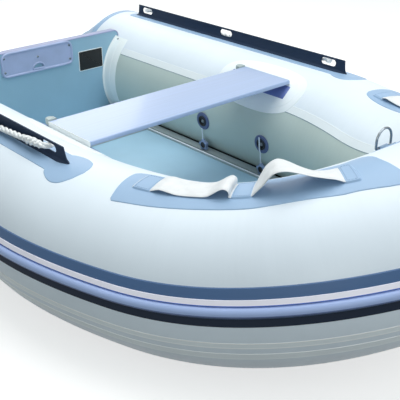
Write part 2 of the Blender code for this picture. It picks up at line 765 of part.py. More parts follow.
def bend_frames(start, end):
    """Tube stations that cover a stretch of centre-line reach, with its straight ends added."""
    frames = [straight_frame(start)] if start < BEND_REACH else []
    for f in FRAMES[1:]:
        reach = f[0].x - TRANSOM_X
        if reach > start and (not frames or reach - 1e-6 > frames[-1][0].x - TRANSOM_X):
            frames.append(f)
        if reach > end:
            break
    return frames


def build_seat_holders(mats):
    for side in (1, -1):
        reach = SEAT_PAD_HALF_L + PATCH_MARGIN
        frames = bend_frames(SEAT_PAD_MID - reach, SEAT_PAD_MID + reach)
        a = math.radians(SEAT_PAD_ANGLE)
        direction = (0, side * math.cos(a), math.sin(a))
        origin = surface_point(SEAT_PAD_MID, SEAT_PAD_ANGLE, 0.0, side)
        angles = (SEAT_PAD_ANGLE - PATCH_SPREAD, SEAT_PAD_ANGLE + PATCH_SPREAD)
        outline = oval(SEAT_PAD_HALF_L, SEAT_PAD_HALF_W)
        name = f"seat_pad_{side_name(side)}"
        build_patch(name, frames, angles, outline, direction, origin, mats["tube"], side)
        on_pad = GAP + SKIN_T + GAP
        ring = shell_ring(ridge_angles(FLAP_TOP_ANGLE, FLAP_LOW_ANGLE), on_pad, on_pad + FLAP_T)
        flap = [straight_frame(FLAP_AFT), straight_frame(FLAP_FORE)]
        sweep(f"seat_flap_{side_name(side)}", flap, ring, mats["navy"], side)


def rail_section():
    """Fin with a flared foot, as (across, up) from the tube's surface."""
    fillet = arc_points(0.5 * RAIL_T + RAIL_FILLET, RAIL_FOOT_T + RAIL_FILLET, RAIL_FILLET, 270, 180, 4)
    right = [(0.5 * RAIL_FOOT, 0.0), (0.5 * RAIL_FOOT, 0.4 * RAIL_FOOT_T), *fillet,
             (0.5 * RAIL_T, RAIL_TALL - 0.001), (0.5 * RAIL_T - 0.001, RAIL_TALL)]
    left = [(-a, b) for a, b in reversed(right)]
    return right + left


def rail_foot(side):
    """Point under the rail at the transom, and the way up its fin."""
    a = math.radians(RAIL_ANGLE)
    up = Vector((0, side * math.cos(a), math.sin(a)))
    base = surface_point(0.0, RAIL_ANGLE, GAP + SKIN_T + 2 * GAP, side)
    base.x = TRANSOM_X
    return base, up


def build_rails(mats):
    for side in (1, -1):
        base, up = rail_foot(side)
        across = up.cross(Vector((1, 0, 0)))
        rings = []
        for reach, sweep in ((RAIL_AFT, 0.0), (RAIL_FORE, RAIL_SWEEP)):
            x = Vector((reach, 0, 0))
            slope = Vector((sweep / RAIL_TALL, 0, 0))
            rings.append([base + x + across * a + (up - slope) * b for a, b in rail_section()])
        rail = loft(f"rope_rail_{side_name(side)}", rings, mats["rail"])
        for index, mid in enumerate(SLOT_MIDS):
            centre = base + Vector((mid, 0, 0)) + up * SLOT_RISE
            slot_axes = axes_matrix(centre, (1, 0, 0), up) @ Matrix.Translation((0, 0, -RAIL_FOOT))
            name = f"rail_slot_{side_name(side)}_{index}"
            tool = prism(name, slot_outline(), 2 * RAIL_FOOT, mats["rail"], slot_axes)
            boolean(rail, cutter(tool), "DIFFERENCE")
        build_rail_pad(side, mats)


def slot_outline():
    """Round-ended slot."""
    r = 0.5 * SLOT_TALL
    flat = 0.5 * SLOT_L - r
    return arc_points(flat, 0, r, -90, 90, 6) + arc_points(-flat, 0, r, 90, 270, 6)


def build_rail_pad(side, mats):
    """Accent patch under the rail: straight edges and a leaf-shaped front end."""
    leaf = RAIL_PAD_LEAF
    end = RAIL_FORE + RAIL_PAD_END
    aft = RAIL_AFT - PATCH_MARGIN
    nose = [(-0.088, 0.84), (-0.076, 0.95), (-0.060, 1.0), (-0.040, 0.96), (-0.024, 0.82), (-0.008, 0.42)]
    lobe = [(end + x, share * leaf) for x, share in nose]
    outboard = [(aft, RAIL_PAD_OUTBOARD), (end - 0.094, RAIL_PAD_OUTBOARD), *lobe, (end, 0.0)]
    inboard = [(aft, RAIL_PAD_INBOARD), (end - 0.112, RAIL_PAD_INBOARD), (end - 0.098, 0.7 * leaf), *lobe]
    outline = [(x, y * side) for x, y in outboard] + [(x, -y * side) for x, y in reversed(inboard)]
    frames = bend_frames(aft - PATCH_MARGIN, end + PATCH_MARGIN)
    centre = surface_point(0.0, RAIL_ANGLE, 0.0, side)
    origin = (TRANSOM_X, centre.y, centre.z)
    angles = (RAIL_ANGLE - RAIL_PAD_SPREAD, RAIL_ANGLE + RAIL_PAD_SPREAD)
    name = f"rail_pad_{side_name(side)}"
    build_patch(name, frames, angles, outline, (0, 0, 1), origin, mats["accent"], side)


def smooth_route(knots, count):
    """Points along a Catmull-Rom curve through the knots."""
    pts = [Vector(k) for k in knots]
    pts = [2 * pts[0] - pts[1], *pts, 2 * pts[-1] - pts[-2]]
    dense = []
    for i in range(1, len(pts) - 2):
        a, b, c, d = pts[i - 1:i + 3]
        for k in range(16):
            t = k / 16
            dense.append(0.5 * ((2 * b) + (c - a) * t + (2 * a - 5 * b + 4 * c - d) * t * t
                                + (3 * b - a - 3 * c + d) * t ** 3))
    dense.append(pts[-2])
    lengths = np.concatenate([[0.0], np.cumsum([(q - p).length for p, q in zip(dense, dense[1:])])])
    route = []
    for s in np.linspace(0.0, lengths[-1], count):
        i = min(int(np.searchsorted(lengths, s, side="right")) - 1, len(dense) - 2)
        t = (s - lengths[i]) / (lengths[i + 1] - lengths[i])
        route.append(dense[i].lerp(dense[i + 1], float(t)))
    return route


def build_life_lines(mats):
    for side in (1, -1):
        base, up = rail_foot(side)
        out = Vector((0, side * up.z, -abs(up.y)))
        knots = [base + Vector((reach, 0, 0)) + out * off + up * rise for reach, off, rise in LINE_KNOTS]
        route = smooth_route(knots, LINE_POINTS)
        curve = bpy.data.curves.new(f"life_line_{side_name(side)}", "CURVE")
        curve.dimensions = "3D"
        curve.bevel_depth = LINE_R
        curve.bevel_resolution = 2
        curve.use_fill_caps = True
        spline = curve.splines.new("POLY")
        spline.points.add(len(route) - 1)
        for point, p in zip(spline.points, route):
            point.co = (*p, 1.0)
        curve.materials.append(mats["rope"])
        obj = bpy.data.objects.new(f"life_line_{side_name(side)}", curve)
        bpy.context.scene.collection.objects.link(obj)


def build_handles(mats):
    for side in (1, -1):
        build_handle_patch(side, mats)
        build_handle_strap(side, mats)


def build_handle_patch(side, mats):
    """Banana-shaped accent patch over the bow quarter, trimmed in plan."""
    outline = []
    for edge, count in ((HANDLE_OUTBOARD, 14), (HANDLE_INBOARD[::-1], 26)):
        route = smooth_route([(TRANSOM_X + reach, half * side, 0.0) for reach, half in edge], count)
        outline += [(p.x, p.y) for p in route]
    frames = bend_frames(1.08, BOW_REACH)[:-1]
    name = f"handle_patch_{side_name(side)}"
    above = (0, 0, 0.45)
    build_patch(name, frames, HANDLE_PATCH_ANGLES, outline, (0, 0, 1), above, mats["accent"], side)


def build_handle_strap(side, mats):
    """Webbing with a slack stretch and a raised loop between three sewn lengths."""
    on_patch = GAP + SKIN_T + HANDLE_SEAT
    half = math.degrees(0.5 * HANDLE_W / TUBE_R)
    low = HANDLE_ANGLE - half
    angles = ridge_angles(low, HANDLE_ANGLE + half)
    thick = Vector((0, 0, HANDLE_T))
    rings = []
    for reach, outboard, inboard in smooth_route(HANDLE_LIFTS, HANDLE_STEPS):
        under = []
        for a in angles:
            share = 0.5 * (a - low) / half
            rise = max(0.0, outboard + (inboard - outboard) * share)
            under.append(surface_point(reach, a, on_patch + rise, side))
        rings.append(under + [p + thick for p in reversed(under)])
    loft(f"handle_strap_{side_name(side)}", rings, mats["webbing"])


def bow_frame(height):
    """Origin and axes on the inner wall of the bow, in the centre plane."""
    point, out, up = FRAMES[-1]
    a = math.radians(RING_ANGLE)
    normal = (out * math.cos(a) + up * math.sin(a)).normalized()
    r = facet_radius(RING_ANGLE)
    origin = Vector((point.x, 0, point.z)) + normal * (r + height)
    return origin, normal


def build_bow_ring(mats):
    origin, normal = bow_frame(0.0)
    ring = shell_ring(ridge_angles(RING_ANGLE - PATCH_SPREAD, RING_ANGLE + PATCH_SPREAD), GAP, GAP + SKIN_T)
    skin = sweep_round_bow("bow_ring_pad", FRAMES[-5:], ring, mats["accent"])
    across = Vector((0, 1, 0))
    depth = 0.06
    matrix = axes_matrix(origin - normal * (0.5 * depth), across, normal.cross(across))
    tool = prism("bow_ring_pad_trim", oval(RING_PAD_R, RING_PAD_R, 28, 2.0), depth, mats["accent"], matrix)
    boolean(skin, cutter(tool), "INTERSECT")
    build_keeper(normal, mats)
    build_ring(mats)


def build_keeper(normal, mats):
    """A webbing loop folded over the ring's bar, with its ends on the patch."""
    origin, _ = bow_frame(0.0)
    along = Vector((0, 1, 0)).cross(normal).normalized()
    hole = RING_ROD + KEEPER_CLEAR
    outer = hole + KEEPER_T
    sole = GAP + SKIN_T + HANDLE_SEAT
    fold = sole + KEEPER_T
    bar = HANDLE_SEAT + RING_BAR_RISE
    crown = arc_points(0.0, bar, outer, 0, 180, 9)
    outline = [(KEEPER_REACH, sole), (KEEPER_REACH, fold), (outer, fold + KEEPER_EASE), *crown,
               (-outer, fold + KEEPER_EASE), (-KEEPER_REACH, fold), (-KEEPER_REACH, sole)]
    width = 2 * KEEPER_HALF
    matrix = axes_matrix(origin + Vector((0, KEEPER_HALF, 0)), along, normal)
    keeper = prism("bow_ring_keeper", outline, width, mats["accent"], matrix)
    bore = [(0, 0), (hole, 0), (hole, 2 * width), (0, 2 * width)]
    to_bore = matrix @ Matrix.Translation((0, bar, -0.5 * width))
    tool = revolve("bow_ring_bore", bore, 16, mats["accent"], to_bore)
    boolean(keeper, cutter(tool), "DIFFERENCE")


def build_ring(mats):
    """A D ring: a straight bar across the boat and a round bow standing up from it."""
    half = 0.5 * RING_W
    leg = RING_TALL - half
    bend = 0.006
    path = [(-half + bend, 0.0), (half - bend, 0.0)]
    path += arc_points(half - bend, bend, bend, -60, 0, 2)
    path += [(half, leg)]
    path += arc_points(0.0, leg, half, 18, 162, 8)
    path += [(-half, leg)]
    path += arc_points(-half + bend, bend, bend, 180, 240, 2)
    count = len(path)
    bm = bmesh.new()
    rows = []
    for i, (y, z) in enumerate(path):
        before, after = path[i - 1], path[(i + 1) % count]
        t = Vector((0, after[0] - before[0], after[1] - before[1])).normalized()
        n = Vector((0, -t.z, t.y))
        row = []
        for k in range(RING_SIDES):
            a = 2 * math.pi * k / RING_SIDES
            across = Vector((RING_ROD * math.cos(a), 0, 0))
            row.append(bm.verts.new(Vector((0, y, z)) + across + n * (RING_ROD * math.sin(a))))
        rows.append(row)
    for i in range(count):
        a, b = rows[i], rows[(i + 1) % count]
        for k in range(RING_SIDES):
            m = (k + 1) % RING_SIDES
            bm.faces.new((a[k], a[m], b[m], b[k]))
    obj = finish_bmesh("bow_ring", bm, mats["steel"])
    obj.location = bow_frame(HANDLE_SEAT + RING_BAR_RISE)[0]


def build_valves(mats):
    for side in (1, -1):
        for label, reach in zip(("aft", "fore"), VALVE_REACHES):
            build_valve(f"{label}_{side_name(side)}", reach, side, mats)


def valve_axes(reach, side):
    """Middle of the valve's facet, its inward normal and the way up the facet."""
    a = math.radians(VALVE_ANGLE)
    normal = Vector((0, side * math.cos(a), math.sin(a)))
    seat = surface_point(reach, VALVE_ANGLE, 0.0, side)
    seat.x = TRANSOM_X + reach
    return seat, normal, Vector((0, normal.z * side, -normal.y * side))


def build_valve(label, reach, side, mats):
    seat, normal, _ = valve_axes(reach, side)
    matrix = axes_matrix(seat + normal * GAP, (1, 0, 0), normal.cross(Vector((1, 0, 0))))
    seat_h = 0.4 * VALVE_T
    mouth = VALVE_MOUTH_R
    profile = [(0, 0), (VALVE_R, 0), (VALVE_R, 0.6 * VALVE_T), (VALVE_R - 0.003, VALVE_T)]
    profile += [(VALVE_RING_R, VALVE_T), (VALVE_RING_R - 0.001, VALVE_RING_T), (mouth, VALVE_RING_T)]
    profile += [(mouth, seat_h), (0.3 * mouth, seat_h), (0.25 * mouth, VALVE_RING_T), (0, VALVE_RING_T)]
    revolve(f"valve_{label}", profile, ROUND_SIDES, mats["valve"], matrix)
    build_cap(label, reach, side, mats)


def build_cap(label, reach, side, mats):
    """Lugged cap hanging by a flat leash from the foot of the valve."""
    outline = []
    for k in range(CAP_LUGS):
        mid = 360.0 / CAP_LUGS * k + 90
        for turn, r in ((-18, CAP_R), (-11, CAP_R + CAP_LUG), (11, CAP_R + CAP_LUG), (18, CAP_R)):
            a = math.radians(mid + turn)
            outline.append((r * math.cos(a), r * math.sin(a)))
    bm = bmesh.new()
    front = [bm.verts.new((px, 0, pz)) for px, pz in outline]
    back = [bm.verts.new((px, CAP_T, pz)) for px, pz in outline]
    count = len(outline)
    for j in range(count):
        k = (j + 1) % count
        if j != 1:
            bm.faces.new((front[j], front[k], back[k], back[j]))
    bm.faces.new(front)
    bm.faces.new(back)
    leash_top = CAP_DROP + CAP_R - VALVE_R - GAP
    half_w = 0.5 * LEASH_W
    mid_y = 0.5 * CAP_T
    near = mid_y - 0.5 * LEASH_T
    far = mid_y + 0.5 * LEASH_T
    last = (front[1], front[2], back[2], back[1])
    for z in (CAP_R + CAP_LUG, leash_top):
        corners = ((half_w, near), (-half_w, near), (-half_w, far), (half_w, far))
        row = [bm.verts.new((px, py, z)) for px, py in corners]
        for j in range(4):
            k = (j + 1) % 4
            bm.faces.new((last[j], last[k], row[k], row[j]))
        last = row
    bm.faces.new(last)
    seat, normal, up = valve_axes(reach, side)
    local = Matrix((Vector((1, 0, 0)), -normal, up)).transposed().to_4x4()
    local.translation = seat + normal * (LEASH_REST + LEASH_T + mid_y) - up * (CAP_DROP + CAP_R)
    bmesh.ops.transform(bm, matrix=local, verts=bm.verts)
    finish_bmesh(f"valve_cap_{label}", bm, mats["cap_plastic"], smooth=False)


def main():
    for obj in list(bpy.data.objects):
        bpy.data.objects.remove(obj, do_unlink=True)
    mats = {
        "tube": material("hull_fabric_white", (0.80, 0.84, 0.86), 0.45),
        "accent": material("hull_fabric_blue_grey", (0.34, 0.50, 0.70), 0.45),
        "hull": material("bottom_fabric", (0.36, 0.45, 0.55), 0.5),
        "navy": material("strake_rubber_navy", (0.05, 0.09, 0.17), 0.5),
        "stripe": material("strake_stripe", (0.72, 0.72, 0.90), 0.5),
        "bead": material("strake_bead", (0.25, 0.42, 0.60), 0.45),
        "rail": material("rail_rubber_navy", (0.03, 0.06, 0.12), 0.5),
        "board": material("transom_paint", (0.20, 0.36, 0.46), 0.4),
        "trim": material("transom_edge", (0.50, 0.55, 0.72), 0.45),
        "strip": material("bonding_strip", (0.75, 0.80, 0.82), 0.5),
        "pad": material("pad_plastic", (0.32, 0.38, 0.56), 0.45),
        "black": material("black_plastic", (0.01, 0.01, 0.012), 0.4),
        "floor": material("floor_board", (0.28, 0.48, 0.62), 0.45),
        "alloy": material("aluminium", (0.70, 0.73, 0.75), 0.3, 1.0),
        "seat": material("seat_paint", (0.55, 0.66, 0.85), 0.4),
        "cap": material("seat_end_plastic", (0.70, 0.74, 0.76), 0.45),
        "rope": material("rope_white", (0.85, 0.86, 0.86), 0.8),
        "webbing": material("webbing_white", (0.85, 0.86, 0.88), 0.8),
        "steel": material("stainless_steel", (0.55, 0.57, 0.58), 0.2, 1.0),
        "valve": material("valve_plastic", (0.06, 0.10, 0.22), 0.45),
        "cap_plastic": material("cap_plastic", (0.30, 0.42, 0.62), 0.45),
    }
    build_tubes(mats)
    build_strake(mats)
    build_transom(mats)
    build_transom_fittings(mats)
    build_floor(mats)
    build_hull_skin(mats)
    build_seat(mats)
    build_seat_holders(mats)
    build_rails(mats)
    build_life_lines(mats)
    build_handles(mats)
    build_bow_ring(mats)
    build_valves(mats)


main()
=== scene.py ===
"""Inflatable dinghy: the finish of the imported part, laid out as an add-on and run as a script.

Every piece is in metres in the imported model's frame: bow towards +X, port towards +Y, the tubes
resting on Z = 0. Skins, tapes, patches, strake and webbing are placed on the air tubes by their
length along the tube's centre line and their angle round it, measured up from straight outboard.
"""
import math

import bmesh
import bpy
import numpy as np
from bpy.props import FloatProperty, FloatVectorProperty, PointerProperty
from mathutils import Matrix, Vector


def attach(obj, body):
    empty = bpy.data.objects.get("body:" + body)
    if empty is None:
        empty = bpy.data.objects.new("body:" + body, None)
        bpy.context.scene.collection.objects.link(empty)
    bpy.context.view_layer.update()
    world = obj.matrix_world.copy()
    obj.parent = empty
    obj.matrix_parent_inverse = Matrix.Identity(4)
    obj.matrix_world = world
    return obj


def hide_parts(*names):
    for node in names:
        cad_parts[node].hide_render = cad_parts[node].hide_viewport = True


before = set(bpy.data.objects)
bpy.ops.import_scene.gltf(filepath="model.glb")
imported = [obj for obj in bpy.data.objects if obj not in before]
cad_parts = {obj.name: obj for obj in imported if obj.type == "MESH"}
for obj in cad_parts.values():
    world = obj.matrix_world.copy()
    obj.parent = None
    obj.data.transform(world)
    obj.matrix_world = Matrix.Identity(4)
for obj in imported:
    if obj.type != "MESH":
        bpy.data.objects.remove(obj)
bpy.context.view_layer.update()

bl_info = {
    "name": "Inflatable dinghy finish",
    "version": (1, 0, 0),
    "blender": (4, 5, 0),
    "location": "3D View > Sidebar > Dinghy",
    "description": "Builds the skins, fittings, ropes and studio round the packed dinghy",
    "category": "Object",
}

SIDES = (("port", 1), ("starboard", -1))

# The air tubes' centre line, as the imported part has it
TUBE_R = 0.210
TUBE_SPAN = 0.506
STERN_REACH = 0.165
BEND_REACH = 0.951
BOW_REACH = 1.726
BEND_LEAD = 0.220
BOW_LEAD = 0.322
SHEER_REACH = 1.258
SHEER_RISE = 0.128
TRANSOM_X = -0.7648
CONE_LEN = 0.255
CONE_END_R = 0.085
CONE_ROUND = 0.030
STRAIGHT_STEPS = 500
BEND_STEPS = 700

# Camera solved from the photograph
CAMERA_AT = (1.7835, -1.4480, 1.1976)
CAMERA_AZIMUTH = 47.80
CAMERA_ELEVATION = 26.34
CAMERA_LENS = 71.08
CAMERA_SHIFT = (-0.0228, -0.0104)


def linear(code):
    """sRGB hex to linear red, green, blue."""
    parts = [int(code[k:k + 2], 16) / 255 for k in (1, 3, 5)]
    return tuple(c / 12.92 if c <= 0.04045 else ((c + 0.055) / 1.055) ** 2.4 for c in parts)


def colour_setting(label, says, code):
    return FloatVectorProperty(
        name=label, description=says, subtype="COLOR", size=3, min=0.0, max=1.0, default=linear(code))


def length_setting(label, says, metres):
    return FloatProperty(
        name=label, description=says, unit="LENGTH", min=0.0, precision=4, default=metres)


class DinghyColours(bpy.types.PropertyGroup):
    """Colours of the dinghy's finishes."""
    tube: colour_setting("Tube fabric", "Coated fabric of the air tubes", "#E5EFF9")
    accent: colour_setting("Accent fabric", "Coated fabric of the cones and patches", "#98B6D6")
    inner: colour_setting("Inner panel", "Coated fabric below the tubes' inner seam", "#C6D4CF")
    bottom: colour_setting("Bottom fabric", "Coated fabric under the floor", "#8FA3B5")
    rubber: colour_setting("Rub strake", "Moulded rubber of the wide band", "#4A6993")
    # Painted shadow: the band below the bead is coloured darker for the shade that the bead casts on it
    rubber_low: colour_setting("Strake lower edge", "Darker rubber of the band below the bead", "#1B2536")
    stripe: colour_setting("Strake stripe", "Pale stripe on the band", "#F6F3FF")
    bead: colour_setting("Strake bead", "Half-round bead below the stripe", "#A8BCE8")
    rail: colour_setting("Rope rail", "Moulded rubber fin on each tube", "#21324A")
    board: colour_setting("Transom paint", "Painted plywood of the transom", "#93BAD1")
    trim: colour_setting("Transom edge", "Moulding over the transom's edge", "#979FC3")
    pad: colour_setting("Motor pad", "Moulded pads on the transom", "#A6B5D9")
    floor: colour_setting("Floor boards", "Painted plywood of the floor", "#A2C8DE")
    seat: colour_setting("Seat", "Lacquer of the bench seat", "#A6BCE2")
    rope: colour_setting("Rope and webbing", "Polyester of the life lines and handles", "#F9FBFD")
    valve: colour_setting("Valve flange", "Moulded flange of each valve", "#5A6892")
    cap: colour_setting("Valve cap", "Moulded cap on its leash", "#8C9FC4")


class DinghySizes(bpy.types.PropertyGroup):
    """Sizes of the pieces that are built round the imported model."""
    rope_diameter: length_setting("Rope", "Diameter of the life lines", 0.017)
    rope_lay: length_setting("Rope lay", "Length of one turn of a strand", 0.066)
    tape_width: length_setting("Seam tape", "Width of the tape over a tube seam", 0.028)
    tape_thick: length_setting("Tape thickness", "How proud a seam tape stands", 0.0007)
    patch_thick: length_setting("Patch thickness", "How proud a bonded patch stands", 0.0016)
    strap_width: length_setting("Webbing width", "Width of the handle webbing", 0.066)
    strap_thick: length_setting("Webbing thickness", "Thickness of the handle webbing", 0.0025)
    stitch: length_setting("Stitch", "Length of one stitch", 0.0045)


def sizes():
    return bpy.context.scene.dinghy_sizes


def shades():
    return bpy.context.scene.dinghy_colours


# The tube's surface

def run_along(points):
    """Length along a line of points, at each of them."""
    return np.concatenate([[0.0], np.cumsum(np.linalg.norm(np.diff(points, axis=0), axis=1))])


def round_tube(angle):
    """Length round a tube of an angle in degrees."""
    return np.radians(angle) * TUBE_R


def degrees_round(metres):
    """Angle in degrees of a length round a tube."""
    return np.degrees(metres / TUBE_R)


def metre_uv(run, across):
    """UVs in metres from lengths along and across, of shapes that fit each other."""
    return np.stack(np.broadcast_arrays(run, across), axis=-1)


def centre_table():
    """Points, forward directions and length along the port tube's centre line, stern to bow."""
    t = np.linspace(0, 1, BEND_STEPS)
    weights = np.stack([(1 - t) ** 3, 3 * (1 - t) ** 2 * t, 3 * (1 - t) * t * t, t ** 3])
    bend_x = weights.T @ np.array([BEND_REACH, BEND_REACH + BEND_LEAD, BOW_REACH, BOW_REACH])
    bend_y = weights.T @ np.array([TUBE_SPAN, TUBE_SPAN, BOW_LEAD, 0.0])
    straight = np.linspace(-STERN_REACH, BEND_REACH, STRAIGHT_STEPS)[:-1]
    reach = np.concatenate([straight, bend_x])
    half = np.concatenate([np.full(len(straight), TUBE_SPAN), bend_y])
    over = np.clip(reach - SHEER_REACH, 0, None) / (BOW_REACH - SHEER_REACH)
    points = np.stack([reach + TRANSOM_X, half, TUBE_R + SHEER_RISE * over ** 2], axis=1)
    length = run_along(points)
    ahead = np.gradient(points, length, axis=0)
    ahead[-1] = (0.0, -1.0, 0.0)
    ahead /= np.linalg.norm(ahead, axis=1)[:, None]
    return points, ahead, length


CENTRE, AHEAD, LENGTH = centre_table()
TUBE_END = float(LENGTH[-1])


def station(s):
    """Centre points, outboard and up directions of the port tube at these lengths along it."""
    point = np.stack([np.interp(s, LENGTH, CENTRE[:, k]) for k in range(3)], axis=1)
    ahead = np.stack([np.interp(s, LENGTH, AHEAD[:, k]) for k in range(3)], axis=1)
    ahead /= np.linalg.norm(ahead, axis=1)[:, None]
    out = -np.cross(ahead, (0.0, 0.0, 1.0))
    out /= np.linalg.norm(out, axis=1)[:, None]
    return point, out, np.cross(ahead, out)


def skin(s, angle, height=0.0, side=1):
    """Points this far proud of the tube at each length and angle in degrees. A length past the
    bow comes back along the other side."""
    s, angle, height = np.broadcast_arrays(*(np.asarray(v, float) for v in (s, angle, height)))
    run = s.ravel()
    past = run > TUBE_END
    point, out, up = station(np.where(past, 2 * TUBE_END - run, run))
    turn = np.radians(angle.ravel())[:, None]
    far = (TUBE_R + height.ravel())[:, None]
    found = point + far * (np.cos(turn) * out + np.sin(turn) * up)
    found[:, 1] *= np.where(past, -side, side)
    return found.reshape(*s.shape, 3)


def along(reach):
    """Length along the tube of a centre-line point this far ahead of the transom."""
    return np.interp(reach, CENTRE[:, 0] - TRANSOM_X, LENGTH)


def on_tube(point):
    """Length and angle of the place on the port tube nearest to a point."""
    away = np.abs(np.asarray(point) * (0, 1, 0)) + np.asarray(point) * (1, 0, 1) - CENTRE
    fore = np.sum(away * AHEAD, axis=1)
    k = int(np.argmin(np.abs(fore) + 0.1 * np.linalg.norm(away, axis=1)))
    s = LENGTH[k] + fore[k]
    _, out, up = station(np.array([s]))
    turn = math.degrees(math.atan2(away[k] @ up[0], away[k] @ out[0]))
    return (s if point[1] >= 0 else 2 * TUBE_END - s), turn


def from_above(x, half):
    """Length and angle of the top of the port tube at a place in plan."""
    z = 2 * TUBE_R
    for _ in range(8):
        s, angle = on_tube((x, half, z))
        z = float(np.ravel(skin(s, angle))[2])
    return s, angle


# Meshes

def mesh_object(name, points, faces, material, uv=None, sharp=35.0):
    mesh = bpy.data.meshes.new(name)
    mesh.from_pydata([tuple(p) for p in points], [], faces)
    if uv is not None:
        layer = mesh.uv_layers.new(name="metres")
        corner = np.zeros(len(mesh.loops), int)
        mesh.loops.foreach_get("vertex_index", corner)
        layer.data.foreach_set("uv", np.asarray(uv, float)[corner].ravel())
    return finish_mesh(name, mesh, material, sharp)


def finish_mesh(name, mesh, material, sharp=35.0):
    bm = bmesh.new()
    bm.from_mesh(mesh)
    bmesh.ops.recalc_face_normals(bm, faces=bm.faces)
    bm.to_mesh(mesh)
    bm.free()
    mesh.materials.append(material)
    mesh.shade_smooth()
    mesh.set_sharp_from_angle(angle=math.radians(sharp))
    obj = bpy.data.objects.new(name, mesh)
    bpy.context.scene.collection.objects.link(obj)
    return obj


def bmesh_object(name, bm, material, sharp=35.0):
    mesh = bpy.data.meshes.new(name)
    bm.to_mesh(mesh)
    bm.free()
    return finish_mesh(name, mesh, material, sharp)


def face_out(obj):
    """Turn an open sheet on a tube so that its faces look away from the centre line."""
    mesh = obj.data
    middle = mesh.polygons[len(mesh.polygons) // 2]
    core = Vector(np.ravel(skin(on_tube(middle.center)[0], 0.0, -TUBE_R)))
    if (middle.center - core).dot(middle.normal) < 0:
        mesh.flip_normals()
    return obj


def grid_faces(rows, cols, around=False):
    """Quads between rows of points. around joins each row's ends."""
    faces = []
    for this in range(0, (rows - 1) * cols, cols):
        past = this + cols
        for j in range(cols if around else cols - 1):
            k = (j + 1) % cols
            faces.append((this + j, this + k, past + k, past + j))
    return faces


def grid(name, points, material, around=False, uv=None, caps=False, sharp=35.0):
    """One mesh from rows of points. caps closes the first and last row."""
    rows, cols = points.shape[:2]
    faces = grid_faces(rows, cols, around)
    if caps:
        faces.append(tuple(range(cols)))
        faces.append(tuple((rows - 1) * cols + j for j in range(cols)))
    flat_uv = None if uv is None else uv.reshape(-1, 2)
    return mesh_object(name, points.reshape(-1, 3), faces, material, flat_uv, sharp)


def place(obj, body, slot, *nodes):
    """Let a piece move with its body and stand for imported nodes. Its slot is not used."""
    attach(obj, body)
    if nodes:
        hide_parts(*nodes)
    return obj


def axes(origin, x_axis, y_axis):
    """Matrix that puts local X and Y along two directions at an origin."""
    x = Vector(x_axis).normalized()
    z = x.cross(Vector(y_axis)).normalized()
    rows = Matrix((x, z.cross(x), z)).transposed().to_4x4()
    return Matrix.Translation(Vector(origin)) @ rows


def arc(cx, cy, r, start, end, steps):
    turns = np.radians(np.linspace(start, end, steps + 1))
    return [(cx + r * math.cos(t), cy + r * math.sin(t)) for t in turns]


def rounded(corners, radii, steps=5):
    """Closed outline through these corners, each eased by its radius."""
    count = len(corners)
    radii = radii if isinstance(radii, (list, tuple)) else [radii] * count
    found = []
    for i in range(count):
        c = np.asarray(corners[i], float)
        a = np.asarray(corners[i - 1], float) - c
        b = np.asarray(corners[(i + 1) % count], float) - c
        la, lb = np.linalg.norm(a), np.linalg.norm(b)
        turn = math.acos(max(-1.0, min(1.0, float(a @ b) / (la * lb))))
        cut = min(radii[i] / math.tan(0.5 * turn), 0.49 * la, 0.49 * lb)
        if cut < 1e-6:
            found.append(tuple(c))
            continue
        start, end = c + a / la * cut, c + b / lb * cut
        for t in np.linspace(0, 1, steps + 1):
            found.append(tuple((1 - t) ** 2 * start + 2 * t * (1 - t) * c + t * t * end))
    return found


def inset(outline, by):
    """A closed outline moved in by this much all round."""
    flat = np.asarray(outline, float)
    run = np.roll(flat, -1, axis=0) - flat
    run /= np.linalg.norm(run, axis=1)[:, None]
    area = np.sum(flat[:, 0] * np.roll(flat[:, 1], -1) - np.roll(flat[:, 0], -1) * flat[:, 1])
    inward = np.stack([-run[:, 1], run[:, 0]], axis=1) * (1 if area > 0 else -1)
    both = inward + np.roll(inward, 1, axis=0)
    both /= np.maximum(np.sum(both * inward, axis=1), 0.3)[:, None]
    return flat + both * by


def rings_of(outline, levels, way=1):
    """A closed outline at each level of (inset, height), moved out instead where way is -1."""
    return [np.column_stack([inset(outline, way * by), np.full(len(outline), up)]) for by, up in levels]


def moulded(name, outline, levels, matrix, material):
    """A plate whose sides follow levels of (inset, height) from its foot to its lid."""
    rings = rings_of(outline, levels)
    count = len(outline)
    faces = grid_faces(len(rings), count, True)
    faces.append(tuple(range(count)))
    faces.append(tuple((len(rings) - 1) * count + j for j in range(count)))
    moved = [matrix @ Vector(p) for p in np.concatenate(rings)]
    return mesh_object(name, moved, faces, material)


def turned(name, profile, matrix, material, sides=48):
    """Turn a profile of (radius, height) points round local Z."""
    points, rows = [], []
    for r, h in profile:
        around = [0.0] if r == 0.0 else np.linspace(0, 2 * math.pi, sides, endpoint=False)
        rows.append(range(len(points), len(points) + len(around)))
        points += [matrix @ Vector((r * math.cos(t), r * math.sin(t), h)) for t in around]
    faces = []
    for a, b in zip(rows, rows[1:]):
        for j in range(sides):
            k = (j + 1) % sides
            quad = [a[j % len(a)], a[k % len(a)], b[k % len(b)], b[j % len(b)]]
            if len(set(quad)) > 2:
                faces.append(tuple(dict.fromkeys(quad)))
    return mesh_object(name, points, faces, material)


def carried(path, start=None, closed=False):
    """Directions, and two cross directions that don't twist, along a path."""
    if closed:
        ahead = np.roll(path, -1, axis=0) - np.roll(path, 1, axis=0)
    else:
        ahead = np.gradient(path, axis=0)
    ahead /= np.linalg.norm(ahead, axis=1)[:, None]
    first = np.asarray(start if start is not None else (0.0, 0.0, 1.0), float)
    across = np.zeros_like(path)
    for i in range(len(path)):
        first = first - ahead[i] * (first @ ahead[i])
        first = first / np.linalg.norm(first)
        across[i] = first
    return ahead, across, np.cross(ahead, across)


